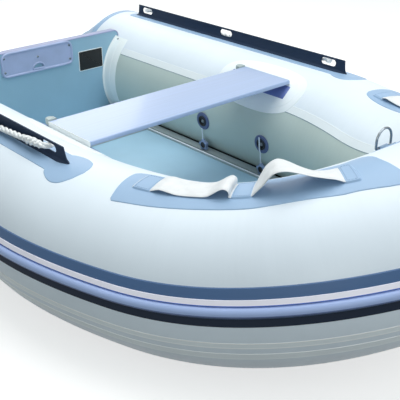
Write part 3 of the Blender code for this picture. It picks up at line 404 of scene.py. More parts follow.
def rod_mesh(path, radius, sides, start=None, closed=False):
    """Points and faces of a round rod along a path. radius is one value or one for each point."""
    _, a, b = carried(path, start, closed)
    turn = np.linspace(0, 2 * math.pi, sides, endpoint=False)
    ring = np.cos(turn)[None, :, None] * a[:, None, :] + np.sin(turn)[None, :, None] * b[:, None, :]
    points = path[:, None, :] + np.broadcast_to(radius, len(path))[:, None, None] * ring
    faces = grid_faces(len(path), sides, True)
    last = (len(path) - 1) * sides
    if closed:
        for j in range(sides):
            k = (j + 1) % sides
            faces.append((last + j, last + k, k, j))
    else:
        faces.append(tuple(range(sides)))
        faces.append(tuple(range(last, last + sides)))
    return points.reshape(-1, 3), faces


def joined(name, parts, material, sharp=35.0):
    """One mesh from several (points, faces) parts, each with faces counted from zero."""
    points, faces, total = [], [], 0
    for some, quads in parts:
        points.append(some)
        faces += [tuple(total + v for v in f) for f in quads]
        total += len(some)
    return mesh_object(name, np.concatenate(points), faces, material, sharp=sharp)


def ribbon(name, path, across, width, thick, material):
    """A flat band along a path, its edges rounded, with its length and width as its UVs."""
    ahead = np.gradient(path, axis=0)
    across = np.broadcast_to(np.asarray(across, float), path.shape)
    share = np.sum(across * ahead, axis=1) / np.sum(ahead * ahead, axis=1)
    across = across - ahead * share[:, None]
    across = across / np.linalg.norm(across, axis=1)[:, None]
    normal = np.cross(across, ahead)
    normal /= np.linalg.norm(normal, axis=1)[:, None]
    half, r = 0.5 * width, 0.5 * thick
    flat = np.linspace(-half + r, half - r, 7)
    end = np.radians((45, 0, -45))
    face = [(v, r) for v in flat] + [(half - r + r * math.cos(t), r * math.sin(t)) for t in end]
    wide, deep = np.array(face + [(-v, -up) for v, up in face]).T[:, None, :, None]
    points = path[:, None, :] + wide * across[:, None, :] + deep * normal[:, None, :]
    uv = metre_uv(run_along(path)[:, None], wide[..., 0])
    return grid(name, points, material, around=True, uv=uv, caps=True, sharp=50.0)


def smooth_route(knots, count):
    """Evenly spaced points along a Catmull-Rom curve through the knots."""
    pts = np.asarray(knots, float)
    pts = np.concatenate([[2 * pts[0] - pts[1]], pts, [2 * pts[-1] - pts[-2]]])
    t = np.linspace(0, 1, 24, endpoint=False)[:, None]
    dense = []
    for a, b, c, d in zip(pts, pts[1:], pts[2:], pts[3:]):
        dense.append(0.5 * ((2 * b) + (c - a) * t + (2 * a - 5 * b + 4 * c - d) * t * t
                            + (3 * b - a - 3 * c + d) * t ** 3))
    dense = np.concatenate([*dense, pts[-2:-1]])
    run = run_along(dense)
    even = np.linspace(0.0, run[-1], count)
    return np.stack([np.interp(even, run, dense[:, k]) for k in range(dense.shape[1])], axis=1)


# Strips and patches on the tubes

def tube_sheet(name, run, angles, heights, material, side=1, around=False):
    """An open sheet on a tube: a row of points at each length, a column at each angle."""
    points = skin(run[:, None], angles[None, :], heights, side)
    uv = metre_uv(run[:, None], round_tube(angles)[None, :])
    return face_out(grid(name, points, material, around=around, uv=uv))


def strip_round_bow(name, start, angles, heights, material, step=0.011):
    """A strip from one stern round the bow to the other, from this length along each tube."""
    run = np.linspace(start, 2 * TUBE_END - start, 2 * int((TUBE_END - start) / step) + 1)
    return tube_sheet(name, run, angles, heights[None, :], material)


def recolour(obj, columns, picks):
    """Give some of a strip's columns of faces another material, as (kind, first, past the last)."""
    for kind, first, past in picks:
        obj.data.materials.append(finish(kind))
        for face in obj.data.polygons:
            if first <= face.index % columns < past:
                face.material_index = len(obj.data.materials) - 1
    return obj


def patch(name, outline, height, side, material, lip=0.0016, cell=0.012, base=0.0):
    """A bonded patch with eased edges, cut into cells so that it bends with the tube. outline
    holds its (length, angle) points."""
    flat = np.array([(s, round_tube(a)) for s, a in outline])
    area = np.sum(flat[:, 0] * np.roll(flat[:, 1], -1) - np.roll(flat[:, 0], -1) * flat[:, 1])
    if area < 0:
        flat = flat[::-1]
    bm = bmesh.new()
    face = bm.faces.new([bm.verts.new((u, v, height)) for u, v in flat])
    bmesh.ops.triangulate(bm, faces=[face])
    for axis in (0, 1):
        for at in np.arange(flat[:, axis].min() + cell, flat[:, axis].max(), cell):
            cut, normal = [0.0] * 3, [0.0] * 3
            cut[axis], normal[axis] = at, 1.0
            whole = bm.verts[:] + bm.edges[:] + bm.faces[:]
            bmesh.ops.bisect_plane(bm, geom=whole, plane_co=cut, plane_no=normal)
    rim = [e for e in bm.edges if e.is_boundary]
    outward = {}
    for e in rim:
        loop = e.link_loops[0]
        run = loop.link_loop_next.vert.co - loop.vert.co
        for v in e.verts:
            outward[v] = outward.get(v, Vector((0, 0, 0))) + Vector((run.y, -run.x, 0)).normalized()
    grown = bmesh.ops.extrude_edge_only(bm, edges=rim)["geom"]
    for v in [g for g in grown if isinstance(g, bmesh.types.BMVert)]:
        old = next(e.other_vert(v) for e in v.link_edges if e.other_vert(v) in outward)
        v.co = old.co + outward[old].normalized() * lip
        v.co.z = 0.0
    layer = bm.loops.layers.uv.new("metres")
    for f in bm.faces:
        for loop in f.loops:
            loop[layer].uv = loop.vert.co.xy
    local = np.array([v.co[:] for v in bm.verts])
    placed = skin(local[:, 0], degrees_round(local[:, 1]), base + local[:, 2], side)
    for v, p in zip(bm.verts, placed):
        v.co = p
    return face_out(bmesh_object(name, bm, material))


# Materials

def add(tree, kind, inputs=None, **settings):
    """Add a shader node with its settings, and its inputs as values or as links."""
    made = tree.nodes.new(kind)
    for key, value in settings.items():
        setattr(made, key, value)
    for key, value in (inputs or {}).items():
        if isinstance(value, bpy.types.NodeSocket):
            tree.links.new(value, made.inputs[key])
        else:
            made.inputs[key].default_value = value
    return made


def start(name, **constants):
    """A material with one Principled shader, its constants set on the shader's own sockets. Gives
    its node tree, the shader and the object's own coordinates too."""
    mat = bpy.data.materials.new(name)
    mat.use_nodes = True
    tree = mat.node_tree
    tree.nodes.clear()
    values = {key.replace("_", " "): value for key, value in constants.items()}
    shader = add(tree, "ShaderNodeBsdfPrincipled", values)
    add(tree, "ShaderNodeOutputMaterial", {"Surface": shader.outputs["BSDF"]})
    return mat, tree, shader, add(tree, "ShaderNodeTexCoord").outputs["Object"]


def wear(tree, shader, colour, shade, patch_size, rough, spot):
    """Soft clouds of a second colour, and a roughness that drifts with them."""
    cloud = add(tree, "ShaderNodeTexNoise",
                {"Vector": spot, "Scale": 1 / patch_size, "Detail": 4.0}).outputs["Fac"]
    spread = add(tree, "ShaderNodeMapRange", {"Value": cloud, "From Min": 0.35, "From Max": 0.7})
    tint = add(tree, "ShaderNodeMix", {0: spread.outputs["Result"], 6: (*colour, 1), 7: (*shade, 1)},
               data_type="RGBA")
    tree.links.new(tint.outputs[2], shader.inputs["Base Color"])
    dull = add(tree, "ShaderNodeMapRange", {"Value": cloud, "To Min": rough[0], "To Max": rough[1]})
    tree.links.new(dull.outputs["Result"], shader.inputs["Roughness"])


def streaks(tree, shader, spot, stretch, detail, shades_of, rough):
    """Fine lines drawn out along one axis, which carry the colour and the roughness. Gives them."""
    drawn = add(tree, "ShaderNodeMapping", {"Vector": spot, "Scale": stretch}).outputs["Vector"]
    lines = add(tree, "ShaderNodeTexNoise", {"Vector": drawn, "Scale": 1.0, "Detail": detail}).outputs["Fac"]
    low, high = shades_of
    tint = add(tree, "ShaderNodeMix", {0: lines, 6: (*low, 1), 7: (*high, 1)}, data_type="RGBA")
    tree.links.new(tint.outputs[2], shader.inputs["Base Color"])
    dull = add(tree, "ShaderNodeMapRange", {"Value": lines, "To Min": rough[0], "To Max": rough[1]})
    tree.links.new(dull.outputs["Result"], shader.inputs["Roughness"])
    return lines


def darker(colour, share):
    """A colour scaled by a share, which may be a little over 1."""
    return tuple(c * share for c in colour)


def waves_per(period):
    """Scale at which a band wave texture repeats once in this many metres."""
    return 2 * math.pi / 20 / period


def coated_fabric(name, colour):
    """PVC-coated polyester, calendered: an even, softly glossy skin in which the threads of the
    base cloth just show. The threads are 1.2 mm apart and drawn at 2.4 mm, so that they show.
    Soft pleats 34 mm wide run round the tubes, where the air pulls at the seams."""
    mat, tree, shader, spot = start(name, Specular_IOR_Level=0.45)
    wear(tree, shader, colour, darker(colour, 0.94), 0.30, (0.36, 0.50), spot)
    metres = add(tree, "ShaderNodeUVMap", uv_map="metres").outputs["UV"]
    warp, weft = (add(tree, "ShaderNodeTexWave", {"Vector": metres, "Scale": waves_per(0.0024)},
                      bands_direction=way).outputs["Fac"] for way in ("X", "Y"))
    cloth = add(tree, "ShaderNodeMath", {0: warp, 1: weft}, operation="MAXIMUM").outputs[0]
    slack = add(tree, "ShaderNodeTexNoise", {"Vector": spot, "Scale": 1 / 0.16, "Detail": 1.0})
    wide = add(tree, "ShaderNodeMapping", {"Vector": metres, "Scale": (1 / 0.034, 1 / 0.55, 1.0)})
    pleats = add(tree, "ShaderNodeTexNoise",
                 {"Vector": wide.outputs["Vector"], "Scale": 1.0, "Detail": 2.0})
    reliefs = ((cloth, 0.12, 0.0002), (slack.outputs["Fac"], 0.35, 0.004),
               (pleats.outputs["Fac"], 0.3, 0.003))
    under = {}
    for height, strength, depth in reliefs:
        bump = add(tree, "ShaderNodeBump",
                   {"Height": height, "Strength": strength, "Distance": depth, **under})
        under = {"Normal": bump.outputs["Normal"]}
    tree.links.new(bump.outputs["Normal"], shader.inputs["Normal"])
    return mat


def moulded_rubber(name, colour, rough, shine=0.3):
    """Moulded rubber: close and dull with a slightly waxy bloom, smooth from the mould, with a
    0.6 mm grain drawn at 1.5 mm."""
    mat, tree, shader, spot = start(name, Specular_IOR_Level=shine)
    wax, share = 0.12, 0.05
    bloom = tuple((1 - share) * c + share * wax for c in colour)
    wear(tree, shader, colour, bloom, 0.12, rough, spot)
    grain = add(tree, "ShaderNodeTexNoise", {"Vector": spot, "Scale": 1 / 0.0015, "Detail": 2.0})
    bump = add(tree, "ShaderNodeBump",
               {"Height": grain.outputs["Fac"], "Strength": 0.15, "Distance": 0.0002})
    tree.links.new(bump.outputs["Normal"], shader.inputs["Normal"])
    return mat


def moulded_plastic(name, colour, rough=(0.34, 0.46)):
    """Moulded ABS: even colour and a fine spark-eroded grain, 0.4 mm drawn at 1.2 mm, that
    breaks its highlights up. Extruded vinyl and powder coat look the same at this size."""
    mat, tree, shader, spot = start(name)
    wear(tree, shader, colour, darker(colour, 0.9), 0.05, rough, spot)
    grain = add(tree, "ShaderNodeTexNoise", {"Vector": spot, "Scale": 1 / 0.0012, "Detail": 1.0})
    bump = add(tree, "ShaderNodeBump",
               {"Height": grain.outputs["Fac"], "Strength": 0.12, "Distance": 0.00015})
    tree.links.new(bump.outputs["Normal"], shader.inputs["Normal"])
    return mat


def painted_plywood(name, colour, rough=(0.32, 0.44)):
    """Marine plywood under two-part paint: flat and hard, with orange peel about 4 mm across and
    the grain of the face veneer just telegraphing across the board."""
    mat, tree, shader, spot = start(name, Coat_Weight=0.15, Coat_Roughness=0.2)
    wear(tree, shader, colour, darker(colour, 0.93), 0.14, rough, spot)
    peel = add(tree, "ShaderNodeTexNoise", {"Vector": spot, "Scale": 1 / 0.004, "Detail": 1.0})
    drawn = add(tree, "ShaderNodeMapping", {"Vector": spot, "Scale": (140.0, 6.0, 140.0)})
    veneer = add(tree, "ShaderNodeTexNoise",
                 {"Vector": drawn.outputs["Vector"], "Scale": 1.0, "Detail": 3.0})
    under = add(tree, "ShaderNodeBump",
                {"Height": peel.outputs["Fac"], "Strength": 0.2, "Distance": 0.0002})
    bump = add(tree, "ShaderNodeBump", {"Height": veneer.outputs["Fac"], "Strength": 0.15,
                                        "Distance": 0.0003, "Normal": under.outputs["Normal"]})
    tree.links.new(bump.outputs["Normal"], shader.inputs["Normal"])
    return mat


def lacquered_board(name, colour):
    """Lacquered aluminium plank: a glossy pale skin over draw lines that run its whole length,
    1 mm apart and drawn at 4 mm, which streak its reflections."""
    mat, tree, shader, spot = start(name, Coat_Weight=0.35, Coat_Roughness=0.12)
    shades_of = darker(colour, 0.76), darker(colour, 1.08)
    lines = streaks(tree, shader, spot, (250.0, 1.5, 250.0), 3.0, shades_of, (0.24, 0.40))
    bump = add(tree, "ShaderNodeBump", {"Height": lines, "Strength": 0.12, "Distance": 0.0002})
    tree.links.new(bump.outputs["Normal"], shader.inputs["Normal"])
    return mat


def anodised_aluminium(name, colour):
    """Extruded and anodised aluminium: pale matt metal with die lines along the boat, 0.5 mm
    apart and drawn at 2 mm."""
    mat, tree, shader, spot = start(name, Metallic=1.0)
    shades_of = darker(colour, 0.85), colour
    lines = streaks(tree, shader, spot, (4.0, 500.0, 500.0), 2.0, shades_of, (0.36, 0.5))
    bump = add(tree, "ShaderNodeBump", {"Height": lines, "Strength": 0.1, "Distance": 0.0001})
    tree.links.new(bump.outputs["Normal"], shader.inputs["Normal"])
    return mat


def polished_stainless(name, colour):
    """Polished stainless rod: dark between sharp highlights, with faint handling marks. Its colour
    is painted darker than bare steel, as shade for the dark surroundings that it reflects.
    """
    mat, tree, shader, spot = start(name, Metallic=1.0)
    wear(tree, shader, colour, linear("#9AA3A8"), 0.01, (0.14, 0.28), spot)
    return mat


def laid_polyester(name, colour):
    """Laid polyester rope and thread: matt filaments with a soft sheen at the edges, and 0.5 mm
    yarns drawn as a grain of 1.5 mm."""
    mat, tree, shader, spot = start(name, Sheen_Weight=0.25, Sheen_Roughness=0.5, Specular_IOR_Level=0.25)
    wear(tree, shader, colour, darker(colour, 0.88), 0.012, (0.62, 0.8), spot)
    yarns = add(tree, "ShaderNodeTexNoise", {"Vector": spot, "Scale": 1 / 0.0015, "Detail": 2.0})
    bump = add(tree, "ShaderNodeBump",
               {"Height": yarns.outputs["Fac"], "Strength": 0.4, "Distance": 0.0004})
    tree.links.new(bump.outputs["Normal"], shader.inputs["Normal"])
    return mat


def woven_webbing(name, colour, shown=1.0):
    """Woven polyester webbing: ribs across its width where the weft packs, 1.4 mm apart and drawn
    at 2.8 mm, and rows of warp along it. shown is the share of its colour that is kept; the rest
    is taken off as painted shade."""
    colour = darker(colour, shown)
    mat, tree, shader, spot = start(name, Sheen_Weight=0.2, Sheen_Roughness=0.5, Specular_IOR_Level=0.3)
    wear(tree, shader, colour, darker(colour, 0.92), 0.02, (0.55, 0.72), spot)
    metres = add(tree, "ShaderNodeUVMap", uv_map="metres").outputs["UV"]
    ribs, rows = (add(tree, "ShaderNodeTexWave", {"Vector": metres, "Scale": waves_per(period)},
                      bands_direction=way).outputs["Fac"] for way, period in (("X", 0.0028), ("Y", 0.0052)))
    cloth = add(tree, "ShaderNodeMath", {0: ribs, 1: rows}, operation="MULTIPLY").outputs[0]
    bump = add(tree, "ShaderNodeBump", {"Height": cloth, "Strength": 0.45, "Distance": 0.0004})
    tree.links.new(bump.outputs["Normal"], shader.inputs["Normal"])
    return mat


# Each kind of surface: its maker, the material's name, its colour as a hex value or as the name
# of a colour setting, and what else the maker is told, such as the range of its roughness
FINISHES = {
    "tube": (coated_fabric, "coated_fabric_tube", "tube"),
    # Partly painted light: the tape is the tube's fabric, coloured lighter so that it shows lit where the
    # inner wall is in shade
    "tape": (coated_fabric, "coated_fabric_tape", "#F2F9FD"),
    # Painted highlight: near white lines on the raised edges of the outer seam tapes
    "seam_highlight": (coated_fabric, "welded_seam_edge", "#FDFEFF"),
    # Painted shadow: a dark line along the lower edge of the inner seam tape
    "seam_shade": (coated_fabric, "seam_glue_line", "#8FA3AD"),
    "inner": (coated_fabric, "coated_fabric_inner", "inner"),
    "accent": (coated_fabric, "coated_fabric_accent", "accent"),
    "bottom": (coated_fabric, "coated_fabric_bottom", "bottom"),
    "navy_fabric": (coated_fabric, "coated_fabric_navy", "#6577B4"),
    "strip": (coated_fabric, "coated_fabric_strip", "#F3FAFB"),
    "rubber": (moulded_rubber, "moulded_rubber_band", "rubber", (0.42, 0.55)),
    # Painted shadow: darker rubber for the band below the bead, in the bead's shade
    "rubber_low": (moulded_rubber, "moulded_rubber_low", "rubber_low", (0.6, 0.75), 0.15),
    # Painted shadow: black under the bead and in the gap where the floor's shelf meets the tube
    "crease_shadow": (moulded_rubber, "moulded_rubber_black", "#0C1016", (0.6, 0.75), 0.12),
    # Painted shade: darker rubber on the bead's lower turn
    "bead_turn": (moulded_rubber, "moulded_rubber_bead_turn", "#51689A", (0.4, 0.55)),
    "stripe_line": (moulded_rubber, "moulded_rubber_line", "#6A8BDC", (0.42, 0.55)),
    "stripe": (moulded_rubber, "moulded_rubber_stripe", "stripe", (0.42, 0.55)),
    "bead": (moulded_rubber, "moulded_rubber_bead", "bead", (0.36, 0.5)),
    "rail": (moulded_rubber, "moulded_rubber_rail", "rail", (0.5, 0.62), 0.14),
    # Painted shade: grey in the stringer's groove
    "groove": (moulded_rubber, "grey_rubber_insert", "#76899A", (0.5, 0.65)),
    "board": (painted_plywood, "painted_plywood_transom", "board"),
    "floor": (painted_plywood, "painted_plywood_floor", "floor", (0.4, 0.55)),
    "seat": (lacquered_board, "lacquered_aluminium_seat", "seat"),
    "alloy": (anodised_aluminium, "anodised_aluminium", "#C3C9CD"),
    "coated_alloy": (moulded_plastic, "powder_coated_aluminium", "#A9B5B9", (0.45, 0.6)),
    "trim": (moulded_plastic, "extruded_vinyl_edge", "trim"),
    # Painted highlight: the stringer's edge bead is coloured near white
    "stringer_highlight": (moulded_plastic, "white_vinyl_bead", "#F2F8FF"),
    "pad": (moulded_plastic, "moulded_plastic_pad", "pad"),
    "black": (moulded_plastic, "moulded_plastic_black", "#15171A"),
    "seat_end": (moulded_plastic, "moulded_plastic_seat_end", "#F0F5F7", (0.2, 0.3)),
    "tab": (moulded_plastic, "moulded_plastic_tab", "#A8B6B6"),
    "valve": (moulded_plastic, "moulded_plastic_valve", "valve"),
    "valve_core": (moulded_plastic, "moulded_plastic_core", "#8B949C"),
    "cap": (moulded_plastic, "moulded_plastic_cap", "cap"),
    "leash": (moulded_plastic, "moulded_plastic_leash", "#EEF4FF"),
    "rope": (laid_polyester, "laid_polyester_rope", "rope"),
    "thread": (laid_polyester, "polyester_sewing_thread", "#8AA5C6"),
    # Painted shade: the webbing's colour is taken down to 0.88 of the rope's
    "webbing": (woven_webbing, "woven_polyester_webbing", "rope", 0.88),
    "keeper": (woven_webbing, "woven_polyester_keeper", "#8FA6C0"),
    "steel": (polished_stainless, "polished_stainless_steel", "#7C858B"),
}


def finish(kind):
    """The material for a kind of surface, made the first time that it is asked for."""
    maker, name, source, *told = FINISHES[kind]
    known = bpy.data.materials.get(name)
    if known:
        return known
    colour = linear(source) if source.startswith("#") else tuple(getattr(shades(), source))
    return maker(name, colour, *told)


# Ropes

RAIL_ANGLE = 84.2
RAIL_SEAT = 0.0021
# Reach from the transom, outboard of the fin's middle, and height over its base
LINE_KNOTS = (
    (-0.010, -0.0060, 0.0255), (-0.006, 0.0040, 0.0262), (0.010, 0.0150, 0.0265), (0.060, 0.0180, 0.0250),
    (0.135, 0.0185, 0.0190), (0.225, 0.0195, 0.0130), (0.335, 0.0200, 0.0080), (0.461, 0.0200, 0.0072),
    (0.595, 0.0200, 0.0080), (0.705, 0.0195, 0.0130), (0.805, 0.0185, 0.0190), (0.885, 0.0180, 0.0250),
    (0.935, 0.0150, 0.0265), (0.951, 0.0040, 0.0262), (0.955, -0.0060, 0.0255),
)
LINE_POINTS = 420
STRAND_SHARE = 0.525
SPLICE_LEN = 0.100
SPLICE_FROM_END = 0.020
SPLICE_TUCKS = 4
TUCK_SHARE = 0.47


def rail_base(side):
    """Point under the rail at the transom, and the way up its fin."""
    foot = skin(along(0.0), RAIL_ANGLE, RAIL_SEAT, side)
    turn = math.radians(RAIL_ANGLE)
    return np.ravel(foot), np.array([0.0, side * math.cos(turn), math.sin(turn)])


def line_route(side, count):
    base, up = rail_base(side)
    out = np.array([0.0, side * up[2], -abs(up[1])])
    knots = [base + (reach, 0, 0) + out * off + up * rise for reach, off, rise in LINE_KNOTS]
    return smooth_route(knots, count)


def laid_strands(path, lay, swell, strand, hand=1):
    """Three strands twisted along a path. swell is each point's helix radius, strand its rod's."""
    _, a, b = carried(path)
    parts = []
    for k in range(3):
        turn = hand * 2 * math.pi * run_along(path) / lay + 2 * math.pi * k / 3
        offset = np.cos(turn)[:, None] * a + np.sin(turn)[:, None] * b
        parts.append(rod_mesh(path + offset * np.broadcast_to(swell, len(path))[:, None], strand, 10))
    return parts


def build_life_lines():
    size = sizes()
    r = 0.5 * size.rope_diameter
    for name, side in SIDES:
        path = line_route(side, LINE_POINTS)
        strand = STRAND_SHARE * r
        parts = laid_strands(path, size.rope_lay, r - strand, strand)
        rope = joined(f"life_line_rope_{name}", parts, finish("rope"), 60)
        run = run_along(path)
        aft_splice, fore_splice = SPLICE_FROM_END, run[-1] - SPLICE_FROM_END - SPLICE_LEN
        for end, start_at in (("aft", aft_splice), ("fore", fore_splice)):
            inside = (run >= start_at) & (run <= start_at + SPLICE_LEN)
            build_splice(f"rope_splice_{end}_{name}", path[inside], r)
        place(rope, "hull", "rope_white", f"life_line_{name}")


def build_splice(name, path, r):
    """The strands' ends tucked back into the rope against its lay, tapered at both ends."""
    t = np.linspace(0, 1, len(path))
    taper = np.sin(np.pi * np.clip(t, 0.03, 0.97)) ** 0.35
    knuckle = 1 + 0.16 * np.sin(t * 2 * math.pi * SPLICE_TUCKS)
    tuck = TUCK_SHARE * r * taper * knuckle
    tucks = laid_strands(path, 0.8 * sizes().rope_lay, 0.55 * r + 0.62 * tuck, tuck, -1)
    return place(joined(name, tucks, finish("rope"), 60), "hull", "rope_white")


# Tubes, cones and tapes

RING_SIDES = 96
TUBE_ROWS = 401
CONE_RINGS = 10
INNER_SEAM_ANGLE = 148.7
# Lower and upper edge of each outer seam
OUTER_SEAM_ANGLES = ((-17.6, -12.9), (-29.0, -22.6))
SEAM_LINE_DEGREES = 0.7
SEAM_EASE_DEGREES = 0.15
SEAM_STEP_DEGREES = 0.05
INNER_SEAM_FROM = 0.074
# First column of faces of the inner panel, and the one past its last
INNER_PANEL = (39, 64)
# The band over the joint of tube and cone: lengths along the tube, and heights
WELD_STATIONS = (0.0, 0.002, 0.024, 0.026)
WELD_HEIGHTS = (0.0004, 0.0009, 0.0009, 0.0)


def build_tubes():
    turns = np.linspace(0, 360, RING_SIDES, endpoint=False)
    run = np.linspace(0.0, 2 * TUBE_END, TUBE_ROWS)
    points = skin(run[:, None], turns[None, :])
    uv = metre_uv(run[:, None], round_tube(turns)[None, :])
    tube = grid("air_tube_skin", points, finish("tube"), around=True, uv=uv, caps=True)
    recolour(tube, RING_SIDES, [("inner", *INNER_PANEL)])
    place(tube, "hull", "hull_fabric_white", "air_tube_port", "air_tube_starboard")
    for name, side in SIDES:
        build_cone(name, side)
    build_tapes()


def build_cone(name, side):
    """A straight taper with a rounded end."""
    taper = CONE_LEN - CONE_ROUND
    straight = np.linspace(0.0003, taper, CONE_RINGS)
    bend = np.radians(np.linspace(8, 84, 8))
    back = np.concatenate([straight, taper + CONE_ROUND * np.sin(bend)])[:, None]
    radii = np.concatenate([TUBE_R - (TUBE_R - CONE_END_R) * straight / taper,
                            CONE_END_R - CONE_ROUND * (1 - np.cos(bend))])[:, None]
    turns = np.linspace(0, 2 * math.pi, RING_SIDES, endpoint=False)[None, :]
    x = np.broadcast_to(TRANSOM_X - STERN_REACH - back, (len(back), RING_SIDES))
    y = side * (TUBE_SPAN + radii * np.cos(turns))
    z = TUBE_R + radii * np.sin(turns)
    uv = metre_uv(x, TUBE_R * turns)
    points = np.stack([x, y, z], axis=-1)
    cone = grid(f"stern_cone_skin_{name}", points, finish("accent"), True, uv, True, 50)
    place(cone, "hull", "hull_fabric_blue_grey", f"stern_cone_{name}")


def seam_tape(name, low, high, start_at, lines):
    """A tape over a seam, raised along its edges, with fine lines of another material on them: painted
    highlights on the outer tapes' edges, and a painted shadow along the inner tape's lower edge.
    """
    edge = np.array([0.0, SEAM_EASE_DEGREES, SEAM_LINE_DEGREES, SEAM_LINE_DEGREES + SEAM_STEP_DEGREES])
    angles = np.concatenate([low + edge, [0.5 * (low + high)], high - edge[::-1]])
    heights = sizes().tape_thick * np.array([0.0, 1.4, 1.4, 1.0, 1.0, 1.0, 1.4, 1.4, 0.0])
    tape = strip_round_bow(name, start_at, angles, heights, finish("tape"))
    return place(recolour(tape, len(angles) - 1, lines), "hull", "hull_fabric_white")


def build_tapes():
    low = INNER_SEAM_ANGLE - degrees_round(sizes().tape_width)
    # The inner tape's lower edge columns take a painted shadow
    seam_tape("inner_seam_tape", low, INNER_SEAM_ANGLE, float(along(INNER_SEAM_FROM)), [("seam_shade", 6, 8)])
    for index, (low, high) in enumerate(OUTER_SEAM_ANGLES):
        edge = 2 - index
        # The outer tapes' edge columns take painted highlights
        lines = [("seam_highlight", 0, edge), ("seam_highlight", 8 - edge, 8)]
        seam_tape(f"outer_seam_tape_{index}", low, high, 0.0, lines)
    turns = np.linspace(0, 360, RING_SIDES, endpoint=False)
    for name, side in SIDES:
        band = tube_sheet(f"cone_joint_tape_{name}", np.array(WELD_STATIONS), turns,
                          np.array(WELD_HEIGHTS)[:, None], finish("accent"), side, True)
        place(band, "hull", "hull_fabric_blue_grey")


# Rub strake

BAND_TOP = 22.9
BAND_LOW = -1.1
BAND_T = 0.0026
BAND_LIP = 0.6
BAND_COLUMNS = 14
STRIPE_TOP = 16.1
STRIPE_LOW = 12.0
# Angle, and height over the band
STRIPE_SECTION = (
    (STRIPE_LOW, -0.001), (STRIPE_LOW + 0.1, 0.0008), (STRIPE_LOW + 0.75, 0.0008),
    (STRIPE_LOW + 1.0, 0.0044), (14.0, 0.0034), (STRIPE_TOP - 0.3, 0.0018), (STRIPE_TOP, -0.0004),
)
BEAD_LOW = 5.5
BEAD_PROUD = 0.0130


def build_strake():
    """Wide band, a pale stripe on it, and under the stripe a half-round bead. The bead's lower side is
    painted dark as shade, and the band's lowest columns darker as the bead's shadow."""
    flat = np.linspace(BAND_LOW + BAND_LIP, BAND_TOP - BAND_LIP, BAND_COLUMNS)
    band = np.array([BAND_LOW, *flat, BAND_TOP]), np.array([0.0, *np.full(BAND_COLUMNS, BAND_T), 0.0])
    stripe = np.array(STRIPE_SECTION).T
    turn = np.radians(np.linspace(0, 180, 19))
    mid, half = 0.5 * (BEAD_LOW + STRIPE_LOW), 0.5 * (STRIPE_LOW - BEAD_LOW) - 0.1
    bead = mid - half * np.cos(turn), BAND_T + BEAD_PROUD * np.sin(turn) ** 0.8
    # Painted shade: the band's first columns, the bead's lowest columns and the turn above them take darker
    # materials that stand in for the shade under the bead
    for name, (angles, heights), kind, lines, slot in (
            ("band", band, "rubber", [("rubber_low", 0, 4)], "strake_rubber_navy"),
            ("stripe", (stripe[0], BAND_T + stripe[1]), "stripe", [("stripe_line", 0, 2)], "strake_stripe"),
            ("bead", bead, "bead", [("crease_shadow", 0, 5), ("bead_turn", 5, 7)], "strake_bead")):
        strip = strip_round_bow(f"strake_{name}_skin", 0.0, angles, heights, finish(kind))
        place(recolour(strip, len(angles) - 1, lines), "hull", slot, f"strake_{name}")


# Bottom

HULL_T = 0.0020
HULL_LAP_ANGLE = -96.0
HULL_EDGE_ANGLE = -122.0
HULL_TIP_HALF = 0.060


def build_bottom():
    """Bottom fabric: lapped under both tubes, flat between them, rising with them at the bow."""
    angles = np.linspace(HULL_LAP_ANGLE, HULL_EDGE_ANGLE, 9)
    rows = []
    for s in np.linspace(float(along(0.0)), TUBE_END, 90):
        edge = np.ravel(skin(s, HULL_EDGE_ANGLE, HULL_T))
        if edge[1] < HULL_TIP_HALF:
            break
        outside = skin(s, angles, HULL_T).reshape(-1, 3)
        sheet = np.linspace(edge, edge * (1, -1, 1), 14)[1:-1]
        under = np.concatenate([outside, sheet, outside[::-1] * (1, -1, 1)])
        over = under[::-1] + (0, 0, HULL_T)
        lap = skin(s, angles, 0.0).reshape(-1, 3)
        over[:len(lap)] = lap * (1, -1, 1)
        over[-len(lap):] = lap[::-1]
        rows.append(np.concatenate([under, over]))
    points = np.array(rows)
    uv = np.stack([points[..., 0], points[..., 1]], axis=-1)
    sheet = grid("bottom_fabric_skin", points, finish("bottom"), True, uv, True, 60)
    place(sheet, "hull", "bottom_fabric", "hull_skin")


# Transom

BOARD_T = 0.027
BOARD_TOP = 0.3984
BOARD_HALF = 0.374
BOARD_CORNER = 0.023
EDGE_PROUD = 0.0018
EDGE_DEEP = 0.0043
EDGE_ROUND = 0.0042
JOIN_WIDTH = 0.070
JOIN_FLANGE = 0.011
JOIN_STEP = 0.034
JOIN_T = 0.0022
JOIN_ANGLES = (131.0, 232.0)
# Reach from the face of the transom, and angle on the tube
STRIP_RIVET = (0.016, 133.6)
RIVET_PROFILE = ((0.0042, 0), (0.0041, 0.0008), (0.0030, 0.0016), (0.0012, 0.0020), (0, 0.0020))
PAD_HALF = 0.152
PAD_TOP = 0.3970
PAD_LOW = 0.304
OUTER_PAD_LOW = 0.190
PAD_ROUND = 0.034
PAD_LOW_ROUND = 0.026
EYE_HALF = 0.021
EYE_LOW = 0.0145
EYE_TALL = 0.0155
# Across from and to, up from and to
PLATE = (0.179, 0.291, 0.263, 0.342)
PLATE_BORDER = ((0, 0), (0, 0.0010), (0.0004, 0.0013))
PLATE_LEVELS = (
    (0.0026, 0.0008), (0.0026, 0.0015), (0.0032, 0.0018), (0.0042, 0.0018), (0.0044, 0.0015),
    (0.0047, 0.0015), (0.0049, 0.0018),
)
DRAIN_Y = -0.250
DRAIN_Z = 0.120
DRAIN_FLANGE_R = 0.027
DRAIN_BORE_R = 0.0155
